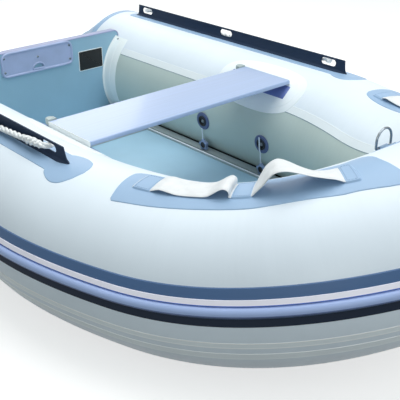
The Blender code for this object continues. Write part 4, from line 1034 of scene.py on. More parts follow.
# Inset and height of the rim of a pad, and the same outward from its eye
PAD_RIM = (
    (0, 0), (0, 0.0046), (0.0007, 0.0062), (0.0020, 0.0074), (0.0042, 0.0079), (0.0064, 0.0074),
    (0.0078, 0.0062), (0.0086, 0.0044), (0.0090, 0.0040),
)
EYE_LIP = (
    (0, 0), (0, 0.0050), (0.0006, 0.0064), (0.0018, 0.0074), (0.0034, 0.0076), (0.0050, 0.0070),
    (0.0060, 0.0056), (0.0064, 0.0040),
)
# Place across, and share of the pad's height
PAD_SCREWS = ((-0.1385, 0.22), (0.1385, 0.22), (-0.1385, 0.79), (0.1385, 0.79), (0.0, 0.60))
SCREW_PROFILE = (
    (0.0045, 0), (0.0044, 0.0008), (0.0034, 0.0016), (0.0018, 0.0019), (0.0014, 0.0009), (0, 0.0009),
)


def edge_path():
    """Top edge of the transom from one tube over to the other, as (y, z)."""
    r = BOARD_CORNER
    foot = TUBE_R + math.sqrt(TUBE_R ** 2 - (TUBE_SPAN - BOARD_HALF) ** 2) + 0.001
    left = arc(-BOARD_HALF + r, BOARD_TOP - r, r, 180, 90, 12)
    right = arc(BOARD_HALF - r, BOARD_TOP - r, r, 90, 0, 12)
    return np.array([(-BOARD_HALF, foot), *left, *right, (BOARD_HALF, foot)])


def build_transom():
    dress("transom_board", "board")
    build_edge_moulding()
    for name, side in SIDES:
        for label, start_x, way in (("fore", 0.0, 1), ("aft", -BOARD_T, -1)):
            build_join_strip(f"{label}_{name}", start_x, way, side)
    build_pad("inner", PAD_LOW, True, TRANSOM_X, 1)
    build_pad("outer", OUTER_PAD_LOW, False, TRANSOM_X - BOARD_T, -1)
    build_plate()
    build_drain()


def dress(node, kind):
    """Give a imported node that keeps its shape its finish."""
    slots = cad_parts[node].material_slots
    for slot in slots:
        slot.material = finish(kind)


def build_edge_moulding():
    """U moulding pressed over the transom's top edge: round outside, with a leg down each face."""
    path = edge_path()
    run = np.gradient(path, axis=0)
    out = np.stack([-run[:, 1], run[:, 0]], axis=1)
    out /= np.linalg.norm(out, axis=1)[:, None]
    half = 0.5 * BOARD_T + EDGE_PROUD
    r = EDGE_ROUND
    crown = arc(half - r, -r, r, 0, 90, 6)
    right = [(0.5 * BOARD_T + 0.0001, -EDGE_DEEP), (half, -EDGE_DEEP + 0.0006)] + crown
    section = np.array(right + [(-x, d) for x, d in reversed(right)])
    centre_x = TRANSOM_X - 0.5 * BOARD_T
    points = np.zeros((len(path), len(section), 3))
    points[..., 0] = centre_x + section[None, :, 0]
    points[..., 1:] = path[:, None, :] + section[None, :, 1, None] * out[:, None, :]
    moulding = grid("transom_edge_moulding", points, finish("trim"), True, None, True, 50)
    place(moulding, "hull", "transom_edge", "transom_trim")


def build_join_strip(label, start_x, way, side):
    """Angle strip bonded to the tube and to one face of the transom: a thick inner band with a
    fillet, and a thinner band outside it."""
    t = JOIN_T
    section = np.array([
        (0.0002, JOIN_FLANGE), (0.6 * t, JOIN_FLANGE + 0.0003), (t, JOIN_FLANGE - 0.0006),
        (1.1 * t, 2.6 * t), (1.5 * t, 1.9 * t), (2.4 * t, 1.4 * t), (JOIN_STEP, 1.3 * t),
        (JOIN_STEP + 0.002, 0.6 * t), (JOIN_WIDTH - 0.002, 0.6 * t), (JOIN_WIDTH, 0.0),
    ])
    angles = np.linspace(*JOIN_ANGLES, 60)
    reach = start_x + way * section[:, 0]
    points = skin(along(0.0) + reach[None, :], angles[:, None], section[None, :, 1], side)
    uv = metre_uv(reach[None, :], round_tube(angles)[:, None])
    strip = grid(f"bonding_strip_{label}", points, finish("strip"), uv=uv)
    place(face_out(strip), "hull", "bonding_strip", f"transom_strip_{label}")
    rivet_reach, rivet_angle = STRIP_RIVET
    head = float(along(0.0)) + start_x + way * rivet_reach
    foot = np.ravel(skin(head, rivet_angle, 1.2 * t, side))
    out = foot - np.ravel(skin(head, rivet_angle, -TUBE_R, side))
    matrix = axes(foot, (1, 0, 0), np.cross(out, (1, 0, 0)))
    rivet = turned(f"strip_rivet_{label}", RIVET_PROFILE, matrix, finish("steel"), 20)
    place(rivet, "hull", "stainless_steel")


def build_pad(name, low, with_eye, face_x, way):
    """Moulded pad with a thick rounded rim, and a lip round its eye."""
    corners = [(-PAD_HALF, low), (-PAD_HALF, PAD_TOP), (PAD_HALF, PAD_TOP), (PAD_HALF, low)]
    outline = rounded(corners, [PAD_LOW_ROUND, PAD_ROUND, PAD_ROUND, PAD_LOW_ROUND], 9)
    bm = bmesh.new()
    rims = [walled(bm, rings_of(outline, PAD_RIM))]
    if with_eye:
        foot = low + EYE_LOW
        half_round = [(y * EYE_HALF, foot + z * EYE_TALL) for y, z in arc(0, 0, 1, 0, 180, 16)]
        rims.append(walled(bm, rings_of(rounded(half_round, 0.002, 2), EYE_LIP, -1)))
    for end in (0, 1):
        edges = [e for rim in rims for e in rim[end]]
        bmesh.ops.triangle_fill(bm, use_beauty=True, use_dissolve=False, edges=edges)
    matrix = Matrix(((0, 0, way, face_x + way * 0.0003), (1, 0, 0, 0), (0, 1, 0, 0), (0, 0, 0, 1)))
    bmesh.ops.transform(bm, matrix=matrix, verts=bm.verts)
    pad = bmesh_object(f"motor_pad_{name}_moulding", bm, finish("pad"))
    place(pad, "hull", "pad_plastic", f"motor_pad_{name}")
    for index, (y, z) in enumerate(PAD_SCREWS):
        matrix = axes((face_x + way * 0.0043, y, low + (PAD_TOP - low) * z), (0, 1, 0), (0, 0, way))
        screw = turned(f"pad_screw_{name}_{index}", SCREW_PROFILE, matrix, finish("steel"), 20)
        place(screw, "hull", "stainless_steel")


def walled(bm, rings):
    """Join like rings of points with quads. Gives the edges of the first and of the last ring."""
    rows = [[bm.verts.new(p) for p in ring] for ring in rings]
    count = len(rows[0])
    for a, b in zip(rows, rows[1:]):
        for j in range(count):
            k = (j + 1) % count
            bm.faces.new((a[j], a[k], b[k], b[j]))
    return [[bm.edges.get((row[j], row[(j + 1) % count])) for j in range(count)]
            for row in (rows[0], rows[-1])]


def build_plate():
    """Blank plate beside the pad: eased corners and a fine sunk line inside its edge."""
    y0, y1, z0, z1 = PLATE
    outline = rounded([(y0, z0), (y1, z0), (y1, z1), (y0, z1)], 0.006, 6)
    matrix = axes((TRANSOM_X + 0.0002, 0, 0), (0, 1, 0), (0, 0, 1))
    border = moulded("blank_plate_border", outline, PLATE_BORDER, matrix, finish("strip"))
    place(border, "hull", "black_plastic")
    cover = moulded("blank_plate_cover", outline, PLATE_LEVELS, matrix, finish("black"))
    place(cover, "hull", "black_plastic", "blank_plate")


def build_drain():
    """Drain bung through the transom: a flange on each face, and a knob inside the boat."""
    matrix = axes((TRANSOM_X - BOARD_T, DRAIN_Y, DRAIN_Z), (0, 1, 0), (0, 0, 1))
    t = BOARD_T + 0.0003
    r = DRAIN_FLANGE_R
    outside = [(0, -0.0038), (0.013, -0.0038), (0.014, -0.0030), (r - 0.0015, -0.0036), (r, -0.0025),
               (r, -0.0003), (DRAIN_BORE_R, -0.0003)]
    inside = [(DRAIN_BORE_R, t), (r, t), (r, t + 0.0015), (r - 0.0015, t + 0.0026), (0.0135, t + 0.0035),
              (0.0128, t + 0.0040), (0.0122, t + 0.0098), (0.0108, t + 0.0105), (0, t + 0.0105)]
    bung = turned("drain_bung", outside + inside, matrix, finish("black"))
    place(bung, "hull", "black_plastic", "drain_fitting")


# Floor

FLOOR_TOP = 0.080
STRINGER_AFT = 0.0801
STRINGER_FORE = 0.9599
# Name, surface, place across from and to, and height. The bead's white is a painted highlight,
# the groove's grey a painted shade and the gap's black a painted shadow
STRINGER_LINES = (
    ("bead", "stringer_highlight", 0.2762, 0.2831, FLOOR_TOP + 0.0082),
    ("groove", "groove", 0.2833, 0.2963, FLOOR_TOP - 0.0028),
    ("gap", "crease_shadow", 0.3290, 0.3372, FLOOR_TOP + 0.0045),
)


def build_floor():
    for name in ("aft", "middle", "fore"):
        dress(f"floor_board_{name}", "floor")
    for name in ("aft", "fore"):
        dress(f"floor_joiner_{name}", "alloy")
    for name, _ in SIDES:
        dress(f"floor_stringer_{name}", "coated_alloy")
    for name, side in SIDES:
        for label, kind, y0, y1, z in STRINGER_LINES:
            build_stringer_line(f"stringer_{label}_{name}", side, y0, y1, z, kind)


def build_stringer_line(name, side, y0, y1, z, kind):
    """A strip let into the side extrusion: its edge bead, painted white as a highlight, the strip in its
    groove, painted grey as the groove's shade, or the strip at its foot, painted black as shadow."""
    mid, half = 0.5 * (y0 + y1), 0.5 * (y1 - y0)
    turns = np.linspace(0, math.pi, 9)[1:-1]
    crown = [(mid - half * math.cos(t), z + 0.0010 * math.sin(t)) for t in turns]
    section = [(y0, z - 0.0002), *crown, (y1, z - 0.0002)]
    reach = (STRINGER_AFT, STRINGER_FORE)
    points = np.array([[(TRANSOM_X + x, side * y, up) for y, up in section] for x in reach])
    place(grid(name, points, finish(kind), True, None, True, 60), "hull", "aluminium")


# Bench seat

SEAT_AFT = 0.707
SEAT_WIDTH = 0.205
SEAT_TOP = 0.4028
SEAT_HALF = 0.388
SEAT_T = 0.0130
SEAT_ROUND = 0.0045
SEAT_CAP_T = 0.0016
SEAT_CAP_DEEP = 0.0171
TAB_WIDTH = 0.028
TAB_REACH = 0.025
TAB_T = 0.0170
TAB_INSET = 0.001
TAB_RISE = 0.0040


def build_seat():
    """Extruded seat board with eased long edges, a moulded cap on each end and a tab behind."""
    middle = TRANSOM_X + SEAT_AFT + 0.5 * SEAT_WIDTH
    half_l = SEAT_HALF - SEAT_CAP_T - 0.0003
    section = seat_section(SEAT_T, 0.003)
    points = np.array([[(middle + x, y, z) for x, z in section] for y in (-half_l, 0.0, half_l)])
    place(grid("seat_plank", points, finish("seat"), True, None, True), "seat", "seat_paint", "seat_board")
    for name, side in SIDES:
        outline = [(side * x, z) for x, z in seat_section(SEAT_CAP_DEEP, 0.006)]
        levels = [(0, 0), (0, 0.0008), (0.0004, 0.0013), (0.0010, SEAT_CAP_T)]
        end = moulded(f"seat_end_cap_{name}", outline, levels, end_axes(middle, side), finish("seat_end"))
        place(end, "seat", "seat_end_plastic", f"seat_end_{name}")
        build_tab(name, side, middle)


def seat_section(deep, low_round):
    """Outline across the seat, as (along the boat, up), with its lower corners eased by this."""
    half = 0.5 * SEAT_WIDTH
    low = SEAT_TOP - deep
    corners = [(-half, SEAT_TOP), (half, SEAT_TOP), (half, low), (-half, low)]
    return rounded(corners, [SEAT_ROUND, SEAT_ROUND, low_round, low_round], 6)


def end_axes(middle, side):
    """Axes on the end of the seat: X along the boat, Y up, Z outboard."""
    z = Vector((0, side, 0))
    y = Vector((0, 0, 1))
    x = y.cross(z)
    rows = Matrix((x, y, z)).transposed().to_4x4()
    return Matrix.Translation((middle, side * (SEAT_HALF - SEAT_CAP_T), 0)) @ rows


def build_tab(name, side, middle):
    """Round-ended lug behind the seat's corner, its sunk top a little above the board."""
    r = 0.5 * TAB_WIDTH
    root = -0.5 * SEAT_WIDTH - 0.0003
    mid = SEAT_HALF - TAB_INSET - r
    far = root - TAB_REACH + r
    outline = [(root, mid - r), (root, mid + r), *arc(far, mid, r, 90, 270, 20)]
    outline = [(x, y * side) for x, y in outline]
    levels = [(0.0008, 0), (0, 0.0008), (0, TAB_T - 0.0022), (0.0006, TAB_T - 0.0008), (0.0018, TAB_T),
              (0.0040, TAB_T), (0.0050, TAB_T - 0.0010), (0.0060, TAB_T - 0.0012)]
    matrix = Matrix.Translation((middle, 0, SEAT_TOP + TAB_RISE - TAB_T))
    tab = moulded(f"seat_tab_moulding_{name}", outline, levels, matrix, finish("tab"))
    place(tab, "seat", "seat_end_plastic", f"seat_tab_{name}")


SEAT_PAD_MID = SEAT_AFT + 0.093
SEAT_PAD_HALF_L = 0.190
SEAT_PAD_HALF_W = 0.0905
SEAT_PAD_ANGLE = 131.0
SEAT_PAD_INNER = 0.82
FLAP_AFT = SEAT_AFT - 0.052
FLAP_FORE = SEAT_AFT + SEAT_WIDTH + 0.010
FLAP_ANGLES = (125.0, 139.0)
FLAP_T = 0.0030
FLAP_EASE = 0.004


def oval(half_l, half_w, steps=64, power=2.4):
    """Outline fuller than an ellipse, as (along, across)."""
    turns = np.linspace(0, 2 * math.pi, steps, endpoint=False)
    return [tuple(half * math.copysign(abs(v) ** (2 / power), v)
                  for half, v in ((half_l, math.cos(t)), (half_w, math.sin(t)))) for t in turns]


def build_seat_holders():
    """Two nested oval patches on each tube's inner wall, and the flap under the seat."""
    mid = float(along(SEAT_PAD_MID))
    thick = sizes().patch_thick
    ovals = (("", 1.0, thick, 0.0, "seat_pad"), ("_inner", SEAT_PAD_INNER, 0.5 * thick, thick, None))
    for name, side in SIDES:
        for label, grow, height, base, node in ovals:
            outline = [(mid + u * grow, SEAT_PAD_ANGLE + degrees_round(v * grow))
                       for u, v in oval(SEAT_PAD_HALF_L, SEAT_PAD_HALF_W)]
            piece = patch(f"seat_holder_patch{label}_{name}", outline, height, side, finish("tape"),
                          base=base)
            place(piece, "hull", "hull_fabric_white", *([f"{node}_{name}"] if node else []))
        build_seat_flap(name, side)


def build_seat_flap(name, side):
    """Navy flap on the patch: crowned across its width and eased down at its ends."""
    thick = sizes().patch_thick
    run = np.linspace(float(along(FLAP_AFT)), float(along(FLAP_FORE)), 40)
    low, high = FLAP_ANGLES
    across = np.linspace(0, 1, 15)
    crown = FLAP_T * (0.55 + 0.45 * np.sin(math.pi * across))
    crown[0] = crown[-1] = 0.0
    ease = np.clip(np.minimum(run - run[0], run[-1] - run) / FLAP_EASE, 0.05, 1)[:, None] ** 0.5
    flap = tube_sheet(f"seat_holder_flap_{name}", run, low + (high - low) * across,
                      thick + crown[None, :] * ease, finish("navy_fabric"), side)
    place(flap, "hull", "rail_rubber_navy", f"seat_flap_{name}")


# Rope rails

RAIL_AFT = -0.062
RAIL_FORE = 1.034
RAIL_SWEEP = 0.018
RAIL_NOSE_BACK = 0.009
RAIL_TALL = 0.0405
RAIL_T = 0.0040
RAIL_EASE = 0.0009
RAIL_FOOT = 0.026
FLARE_WIDE = 0.0062
FLARE_TALL = 0.0060
FLARE_TAPER = 0.036
SLOT_MIDS = (-0.005, 0.461, 0.950)
SLOT_L = 0.062
SLOT_TALL = 0.022
SLOT_RISE = 0.023
RAIL_PAD_OUTBOARD = 0.046
RAIL_PAD_INBOARD = 0.034
RAIL_PAD_LEAVES = (0.064, 0.049)
RAIL_PAD_END = 0.056
# Back from the leaf's tip, and share of its half width
LEAF_LOBE = ((0.074, 0.94), (0.056, 1.0), (0.038, 0.97), (0.022, 0.83), (0.007, 0.48), (0.0, 0.0))


def rail_side_outline():
    """The fin seen from the side, as (reach, up): square aft, its front edge swept forward."""
    tip = RAIL_FORE - RAIL_NOSE_BACK
    nose = [(RAIL_FORE - RAIL_SWEEP, RAIL_TALL), (RAIL_FORE - 0.0160, 0.026), (RAIL_FORE - 0.0138, 0.013),
            (RAIL_FORE - 0.0112, 0.006), (tip, 0.003)]
    nose = [tuple(p) for p in smooth_route(nose, 14)]
    return [(RAIL_AFT, 0.002), (RAIL_AFT, RAIL_TALL), *nose, (tip, 0.002)]


def build_rails():
    for name, side in SIDES:
        build_fin(name, side)
        build_rail_pad(name, side)


def build_fin(name, side):
    """Fin cut with three round-ended slots, its edges eased, on a flared foot."""
    base, up = rail_base(side)
    across = np.cross(up, (1.0, 0.0, 0.0))
    bm = bmesh.new()
    loops = [rail_side_outline()]
    r = 0.5 * SLOT_TALL
    for mid in SLOT_MIDS:
        flat = 0.5 * SLOT_L - r
        loops.append(arc(mid + flat, SLOT_RISE, r, -90, 90, 12) + arc(mid - flat, SLOT_RISE, r, 90, 270, 12))
    edges = []
    for loop in loops:
        verts = [bm.verts.new((x, z, 0)) for x, z in loop]
        edges += [bm.edges.new((a, b)) for a, b in zip(verts, verts[1:] + verts[:1])]
    bmesh.ops.triangle_fill(bm, use_beauty=True, use_dissolve=False, edges=edges)
    front = bm.faces[:]
    half = 0.5 * RAIL_T
    grown = bmesh.ops.extrude_face_region(bm, geom=front)["geom"]
    lids = [g for g in grown if isinstance(g, bmesh.types.BMFace)]
    for v in {v for f in lids for v in f.verts}:
        v.co.z = half
    for v in {v for f in front for v in f.verts}:
        v.co.z = -half
    bm.normal_update()
    bmesh.ops.recalc_face_normals(bm, faces=bm.faces)
    crisp = [e for e in bm.edges if len(e.link_faces) == 2 and e.calc_face_angle() > 1.2]
    bmesh.ops.bevel(bm, geom=crisp, offset=RAIL_EASE, segments=2, affect="EDGES", profile=0.5)
    to_place = Matrix((Vector((1, 0, 0)), Vector(up), Vector(across))).transposed().to_4x4()
    bmesh.ops.transform(bm, matrix=Matrix.Translation(Vector(base)) @ to_place, verts=bm.verts)
    fin = bmesh_object(f"rope_rail_fin_{name}", bm, finish("rail"), 40)
    place(fin, "hull", "rail_rubber_navy", f"rope_rail_{name}")
    build_rail_foot(name, base, up, across)


def build_rail_foot(name, base, up, across):
    """The rail's flared foot, tapering away past the fin's swept nose."""
    right = [(0.5 * RAIL_FOOT, -0.0012), (0.5 * RAIL_FOOT - 0.0006, 0.0006), (0.30 * RAIL_FOOT, 0.0016)]
    right += [(0.5 * RAIL_T + FLARE_WIDE * (1 - math.sin(t)), 0.0022 + FLARE_TALL * (1 - math.cos(t)))
              for t in np.radians(np.linspace(10, 90, 8))]
    section = np.array(right + [(-a, b) for a, b in reversed(right)])
    reach = np.concatenate([np.linspace(RAIL_AFT, RAIL_FORE - 0.04, 30),
                            np.linspace(RAIL_FORE - FLARE_TAPER, RAIL_FORE - 0.005, 8)])
    rows = []
    for x in reach:
        shrink = np.clip((RAIL_FORE - 0.003 - x) / FLARE_TAPER, 0.05, 1.0) ** 0.6
        flat = section * (shrink, 1.0)
        flat[:, 1] = np.where(flat[:, 1] > 0, flat[:, 1] * shrink, flat[:, 1])
        rows.append([base + (x, 0, 0) + a * across + b * up for a, b in flat])
    foot = grid(f"rope_rail_foot_{name}", np.array(rows), finish("rail"), True, None, True, 50)
    place(foot, "hull", "rail_rubber_navy")


def build_rail_pad(name, side):
    """Accent patch under the rail: straight edges and a leaf-shaped front end."""
    end = RAIL_FORE + RAIL_PAD_END
    aft = RAIL_AFT - 0.02
    plan = []
    for half, leaf, way in zip((RAIL_PAD_OUTBOARD, RAIL_PAD_INBOARD), RAIL_PAD_LEAVES, (1, -1)):
        lobe = [(end - back, share * leaf) for back, share in LEAF_LOBE]
        shoulder = [(end - 0.098, half), (end - 0.090, half + 0.4 * (leaf - half)), *lobe]
        edge = [(aft, 0.0), (aft, 0.8 * half), (aft + 0.008, half), (end - 0.15, half), (end - 0.11, half)]
        edge += [tuple(p) for p in smooth_route(shoulder, 26)]
        plan += [(x, way * y) for x, y in (edge[:-1] if way > 0 else edge[:0:-1])]
    middle_y = TUBE_SPAN + TUBE_R * math.cos(math.radians(RAIL_ANGLE))
    outline = [from_above(TRANSOM_X + x, middle_y + y) for x, y in plan]
    pad = patch(f"rail_pad_fabric_{name}", outline, sizes().patch_thick, side, finish("accent"))
    place(pad, "hull", "hull_fabric_blue_grey", f"rail_pad_{name}")


# Bow handles

# The patch's two edges in plan: reach from the transom, and place across
HANDLE_OUTBOARD = (
    (1.226, 0.5455), (1.299, 0.513), (1.356, 0.485), (1.420, 0.453), (1.501, 0.411), (1.542, 0.384),
    (1.615, 0.326), (1.664, 0.288), (1.690, 0.259), (1.732, 0.215), (1.746, 0.196), (1.757, 0.178),
)
HANDLE_INBOARD = (
    (1.219, 0.541), (1.197, 0.494), (1.182, 0.446), (1.186, 0.430), (1.203, 0.416), (1.232, 0.401),
    (1.304, 0.372), (1.367, 0.345), (1.432, 0.309), (1.484, 0.276), (1.532, 0.243), (1.561, 0.216),
    (1.586, 0.193), (1.599, 0.163), (1.614, 0.146), (1.636, 0.146), (1.663, 0.156), (1.720, 0.169),
    (1.750, 0.174),
)
# Reach, and how far the outboard and the inboard edge of the webbing stand off the patch
STRAP_LIFTS = (
    (1.222, 0.0, 0.0), (1.262, 0.0, 0.001), (1.275, 0.003, 0.007), (1.297, 0.009, 0.010),
    (1.320, 0.006, 0.008), (1.345, 0.002, 0.006), (1.385, 0.002, 0.004), (1.420, 0.003, 0.006),
    (1.437, 0.010, 0.011),
    (1.455, 0.0195, 0.0185), (1.467, 0.0220, 0.0210), (1.4745, 0.0165, 0.0160), (1.475, 0.008, 0.008),
    (1.473, 0.0015, 0.0015), (1.483, 0.0, 0.0), (1.516, 0.0, 0.0), (1.530, 0.010, 0.016),
    (1.546, 0.025, 0.035), (1.562, 0.044, 0.045), (1.575, 0.053, 0.046), (1.590, 0.053, 0.036),
    (1.606, 0.044, 0.021), (1.622, 0.031, 0.008), (1.636, 0.021, 0.002), (1.648, 0.012, 0.0),
    (1.657, 0.001, 0.0), (1.667, 0.0, 0.0),
)
HANDLE_ANGLE = 88.5
# Reaches, and the lean in degrees at each
STRAP_LEAN = ((1.20, 1.50, 1.68), (0.8, 0.8, 0.0))
# Reaches of the aft and fore edges of the three sewn boxes
ANCHORS = ((1.224, 1.266), (1.479, 1.519), (1.657, 1.671))
ANCHOR_T = 0.0014
ANCHOR_SPARE = 0.0015
ANCHOR_MARGIN = 0.0035
STITCH_SHARES = (0.12, 0.3, 0.5, 0.7, 0.88)
STITCH_RADII = (0.0002, 0.0006, 0.0007, 0.0006, 0.0002)
STRAP_ROWS = 210
STRAP_COLUMNS = 12


def build_handles():
    size = sizes()
    for name, side in SIDES:
        outline = [from_above(TRANSOM_X + x, y) for x, y in smooth_route(HANDLE_OUTBOARD, 30)]
        outline += [from_above(TRANSOM_X + x, y) for x, y in smooth_route(HANDLE_INBOARD, 60)[::-1]]
        fabric = patch(f"handle_patch_fabric_{name}", outline, size.patch_thick, side, finish("accent"))
        place(fabric, "hull", "hull_fabric_blue_grey", f"handle_patch_{name}")
        place(build_strap(name, side), "hull", "webbing_white", f"handle_strap_{name}")
        for index, ends in enumerate(ANCHORS):
            build_anchor(f"{name}_{index}", *(float(along(reach)) for reach in ends),
                         float(strap_angle(sum(ends) / 2)), side)


def strap_angle(reach):
    """Angle of the webbing's middle on the tube: it leans inboard where it is slack."""
    return HANDLE_ANGLE + np.interp(reach, *STRAP_LEAN)


def build_strap(name, side):
    """Webbing bent over the tube: a low bulge aft of its middle sewn box and a raised loop
    forward of it."""
    size = sizes()
    half = 0.5 * size.strap_width
    route = smooth_route(STRAP_LIFTS, STRAP_ROWS)
    share = np.linspace(0, 1, STRAP_COLUMNS)
    rise = np.clip(route[:, 1:2] + (route[:, 2:3] - route[:, 1:2]) * share, 0.0, None)
    angles = strap_angle(route[:, :1]) + degrees_round(half) * (2 * share - 1)
    seat = size.patch_thick + 0.5 * size.strap_thick + 0.0002
    middle = skin(along(route[:, 0])[:, None], angles, seat + rise, side)
    ahead = np.gradient(middle, axis=0)
    across = np.gradient(middle, axis=1)
    normal = np.cross(ahead, across)
    normal *= np.sign(normal[..., 2:3].mean()) / np.linalg.norm(normal, axis=-1)[..., None]
    lift = 0.5 * size.strap_thick * normal
    out = across / np.linalg.norm(across, axis=-1)[..., None] * 0.5 * size.strap_thick
    points = np.concatenate([middle + lift, middle[:, -1:] + out[:, -1:], (middle - lift)[:, ::-1],
                             middle[:, :1] - out[:, :1]], axis=1)
    width = (share - 0.5) * size.strap_width
    around = np.concatenate([width, [half + 0.001], width[::-1], [-half - 0.001]])
    uv = metre_uv(run_along(middle[:, 0])[:, None], around[None, :])
    return grid(f"handle_webbing_{name}", points, finish("webbing"), True, uv, True, 50)


def build_anchor(label, first, last, middle, side):
    """A box of the patch's fabric sewn down over the webbing, with stitches all round inside it."""
    size = sizes()
    half = 0.5 * size.strap_width + ANCHOR_SPARE
    box = rounded([(first, -half), (last, -half), (last, half), (first, half)], 0.003, 4)
    outline = [(s, middle + degrees_round(v)) for s, v in box]
    cover = patch(f"sewn_anchor_{label}", outline, size.strap_thick + ANCHOR_T, side, finish("accent"),
                  lip=0.003, base=size.patch_thick)
    place(cover, "hull", "hull_fabric_blue_grey")
    over = size.patch_thick + size.strap_thick + ANCHOR_T + 0.0001
    aft, fore = first + ANCHOR_MARGIN, last - ANCHOR_MARGIN
    spread = degrees_round(half - ANCHOR_MARGIN)
    low, high = middle - spread, middle + spread
    corners = [(aft, low), (fore, low), (fore, high), (aft, high)]
    parts = []
    for a, b in zip(corners, corners[1:] + corners[:1]):
        parts += stitch_run(a, b, over, side)
    place(joined(f"anchor_stitches_{label}", parts, finish("thread"), 60), "hull", "webbing_white")


def stitch_run(start_at, end_at, height, side):
    """Stitches laid on a tube between two (length, angle) places."""
    far, turn = end_at[0] - start_at[0], end_at[1] - start_at[1]
    count = max(2, int(math.hypot(far, round_tube(turn)) / sizes().stitch))
    parts = []
    for k in range(count):
        t = (k + np.array(STITCH_SHARES)) / count
        path = skin(start_at[0] + far * t, start_at[1] + turn * t, height, side)
        parts.append(rod_mesh(path, STITCH_RADII, 6))
    return parts


# Bow ring

RING_ANGLE = 140.0
RING_PAD_R = 0.075
RING_W = 0.056
RING_TALL = 0.048
RING_ROD = 0.0030
RING_BEND = 0.006
RING_RISE = 0.0100
KEEPER_HALF = 0.016
KEEPER_T = 0.0020
KEEPER_REACH = 0.026


def bow_wall():
    """Origin and outward normal on the inner wall of the bow, in the centre plane."""
    origin = np.ravel(skin(TUBE_END, RING_ANGLE))
    normal = origin - np.ravel(skin(TUBE_END, RING_ANGLE, -TUBE_R))
    return origin, normal / np.linalg.norm(normal)


def build_bow_ring():
    origin, normal = bow_wall()
    lie = np.cross((0.0, 1.0, 0.0), normal)
    outline = []
    for t in np.linspace(0, 2 * math.pi, 56, endpoint=False):
        across = np.array([0.0, RING_PAD_R * math.cos(t), 0.0])
        outline.append(on_tube(origin + across + lie * RING_PAD_R * math.sin(t)))
    pad = patch("bow_ring_patch", outline, sizes().patch_thick, 1, finish("accent"))
    place(pad, "hull", "hull_fabric_blue_grey", "bow_ring_pad")
    hole = RING_ROD + 0.0006 + 0.5 * KEEPER_T
    flat_h = sizes().patch_thick + 0.5 * KEEPER_T
    crown = arc(0.0, RING_RISE, hole, -30, 210, 18)
    profile = [(KEEPER_REACH, flat_h), (0.6 * KEEPER_REACH, flat_h), (hole + 0.003, flat_h + 0.0012), *crown,
               (-hole - 0.003, flat_h + 0.0012), (-0.6 * KEEPER_REACH, flat_h), (-KEEPER_REACH, flat_h)]
    path = np.array([origin + lie * a + normal * b for a, b in profile])
    keeper = ribbon("ring_keeper_loop", path, (0.0, 1.0, 0.0), 2 * KEEPER_HALF, KEEPER_T, finish("keeper"))
    place(keeper, "hull", "hull_fabric_blue_grey", "bow_ring_keeper")
    build_ring(origin + normal * RING_RISE)


def build_ring(centre):
    """D ring: a straight bar across the boat and a round bow standing up from it."""
    half, bend = 0.5 * RING_W, RING_BEND
    leg = RING_TALL - half
    outline = list(zip(np.linspace(-half + bend, half - bend, 16), np.zeros(16)))
    outline += arc(half - bend, bend, bend, -80, -6, 6)
    outline += [(half, z) for z in np.linspace(bend, leg, 7)]
    outline += arc(0.0, leg, half, 5, 175, 34)
    outline += [(-half, z) for z in np.linspace(leg, bend, 7)]
    outline += arc(-half + bend, bend, bend, 186, 260, 6)
    path = np.array([centre + np.array((0.0, y, z)) for y, z in outline])
    points, faces = rod_mesh(path, RING_ROD, 18, (1.0, 0.0, 0.0), True)
    ring = mesh_object("bow_d_ring", points, faces, finish("steel"), sharp=60)
    place(ring, "ring", "stainless_steel", "bow_ring")


# Valves

VALVE_REACHES = (("aft", 0.593), ("fore", 0.882))
VALVE_ANGLE = 183.75
VALVE_R = 0.032
CAP_R = 0.0165
CAP_T = 0.0110
CAP_LUG = 0.0048
CAP_LUGS = 5
CAP_DROP = 0.0915
CAP_LIFT = -0.0030
LEASH_ASIDE = -0.004
LEASH_WIDTH = 0.0052
LEASH_T = 0.0018
# Height of a leash's upper end over the middle of its valve
LEASH_TOPS = {"aft": -0.028, "fore": 0.026}
FLANGE_T = 0.0036
THREAD_R = 0.0190
WELL_R = 0.0142
FLANGE_PROFILE = (
    (THREAD_R, 0.0), (VALVE_R, 0.0), (VALVE_R, 0.0012), (VALVE_R - 0.0012, 0.0024),
    (VALVE_R - 0.0042, FLANGE_T), (0.0215, FLANGE_T), (0.0205, 0.0030), (THREAD_R, 0.0030), (THREAD_R, 0.0),
)
THREAD_PROFILE = (
    (WELL_R, 0.0008), (THREAD_R, 0.0008), (THREAD_R, 0.0052), (0.0182, 0.0062), (0.0150, 0.0062),
    (WELL_R, 0.0054), (WELL_R, 0.0008),
)
WELL_PROFILE = ((0.0062, 0.0022), (0.0105, 0.0016), (WELL_R, 0.0014))
POPPET_PROFILE = ((0.0, 0.0052), (0.0030, 0.0052), (0.0044, 0.0046), (0.0052, 0.0034), (0.0062, 0.0022))
CAP_HUB = (
    (0.0112, -0.0002), (0.0112, 0.0006), (0.0100, 0.0010), (0.0090, 0.0006), (0.0084, 0.0002), (0.0, 0.0002),
)
# One lug of a cap: turn in degrees, and share of the lug's reach
CAP_OUTLINE = ((-20, 0.0), (-13, 0.6), (-9, 1.0), (9, 1.0), (13, 0.6), (20, 0.0), (30, 0.0))


def build_valves():
    for name, side in SIDES:
        for end, reach in VALVE_REACHES:
            matrix = valve_axes(reach, side)
            build_valve(f"{end}_{name}", matrix)
            build_valve_cap(f"{end}_{name}", matrix, LEASH_TOPS[end])


def valve_axes(reach, side):
    """Axes on the tube wall at a valve: X along the boat, Y up the wall, Z out of it."""
    seat = np.ravel(skin(along(reach), VALVE_ANGLE, 0.0, side))
    z = Vector(seat - np.ravel(skin(along(reach), VALVE_ANGLE, -TUBE_R, side))).normalized()
    up = z.cross(Vector((1, 0, 0))) * side
    rows = Matrix((up.cross(z), up, z)).transposed().to_4x4()
    return Matrix.Translation(Vector(seat)) @ rows


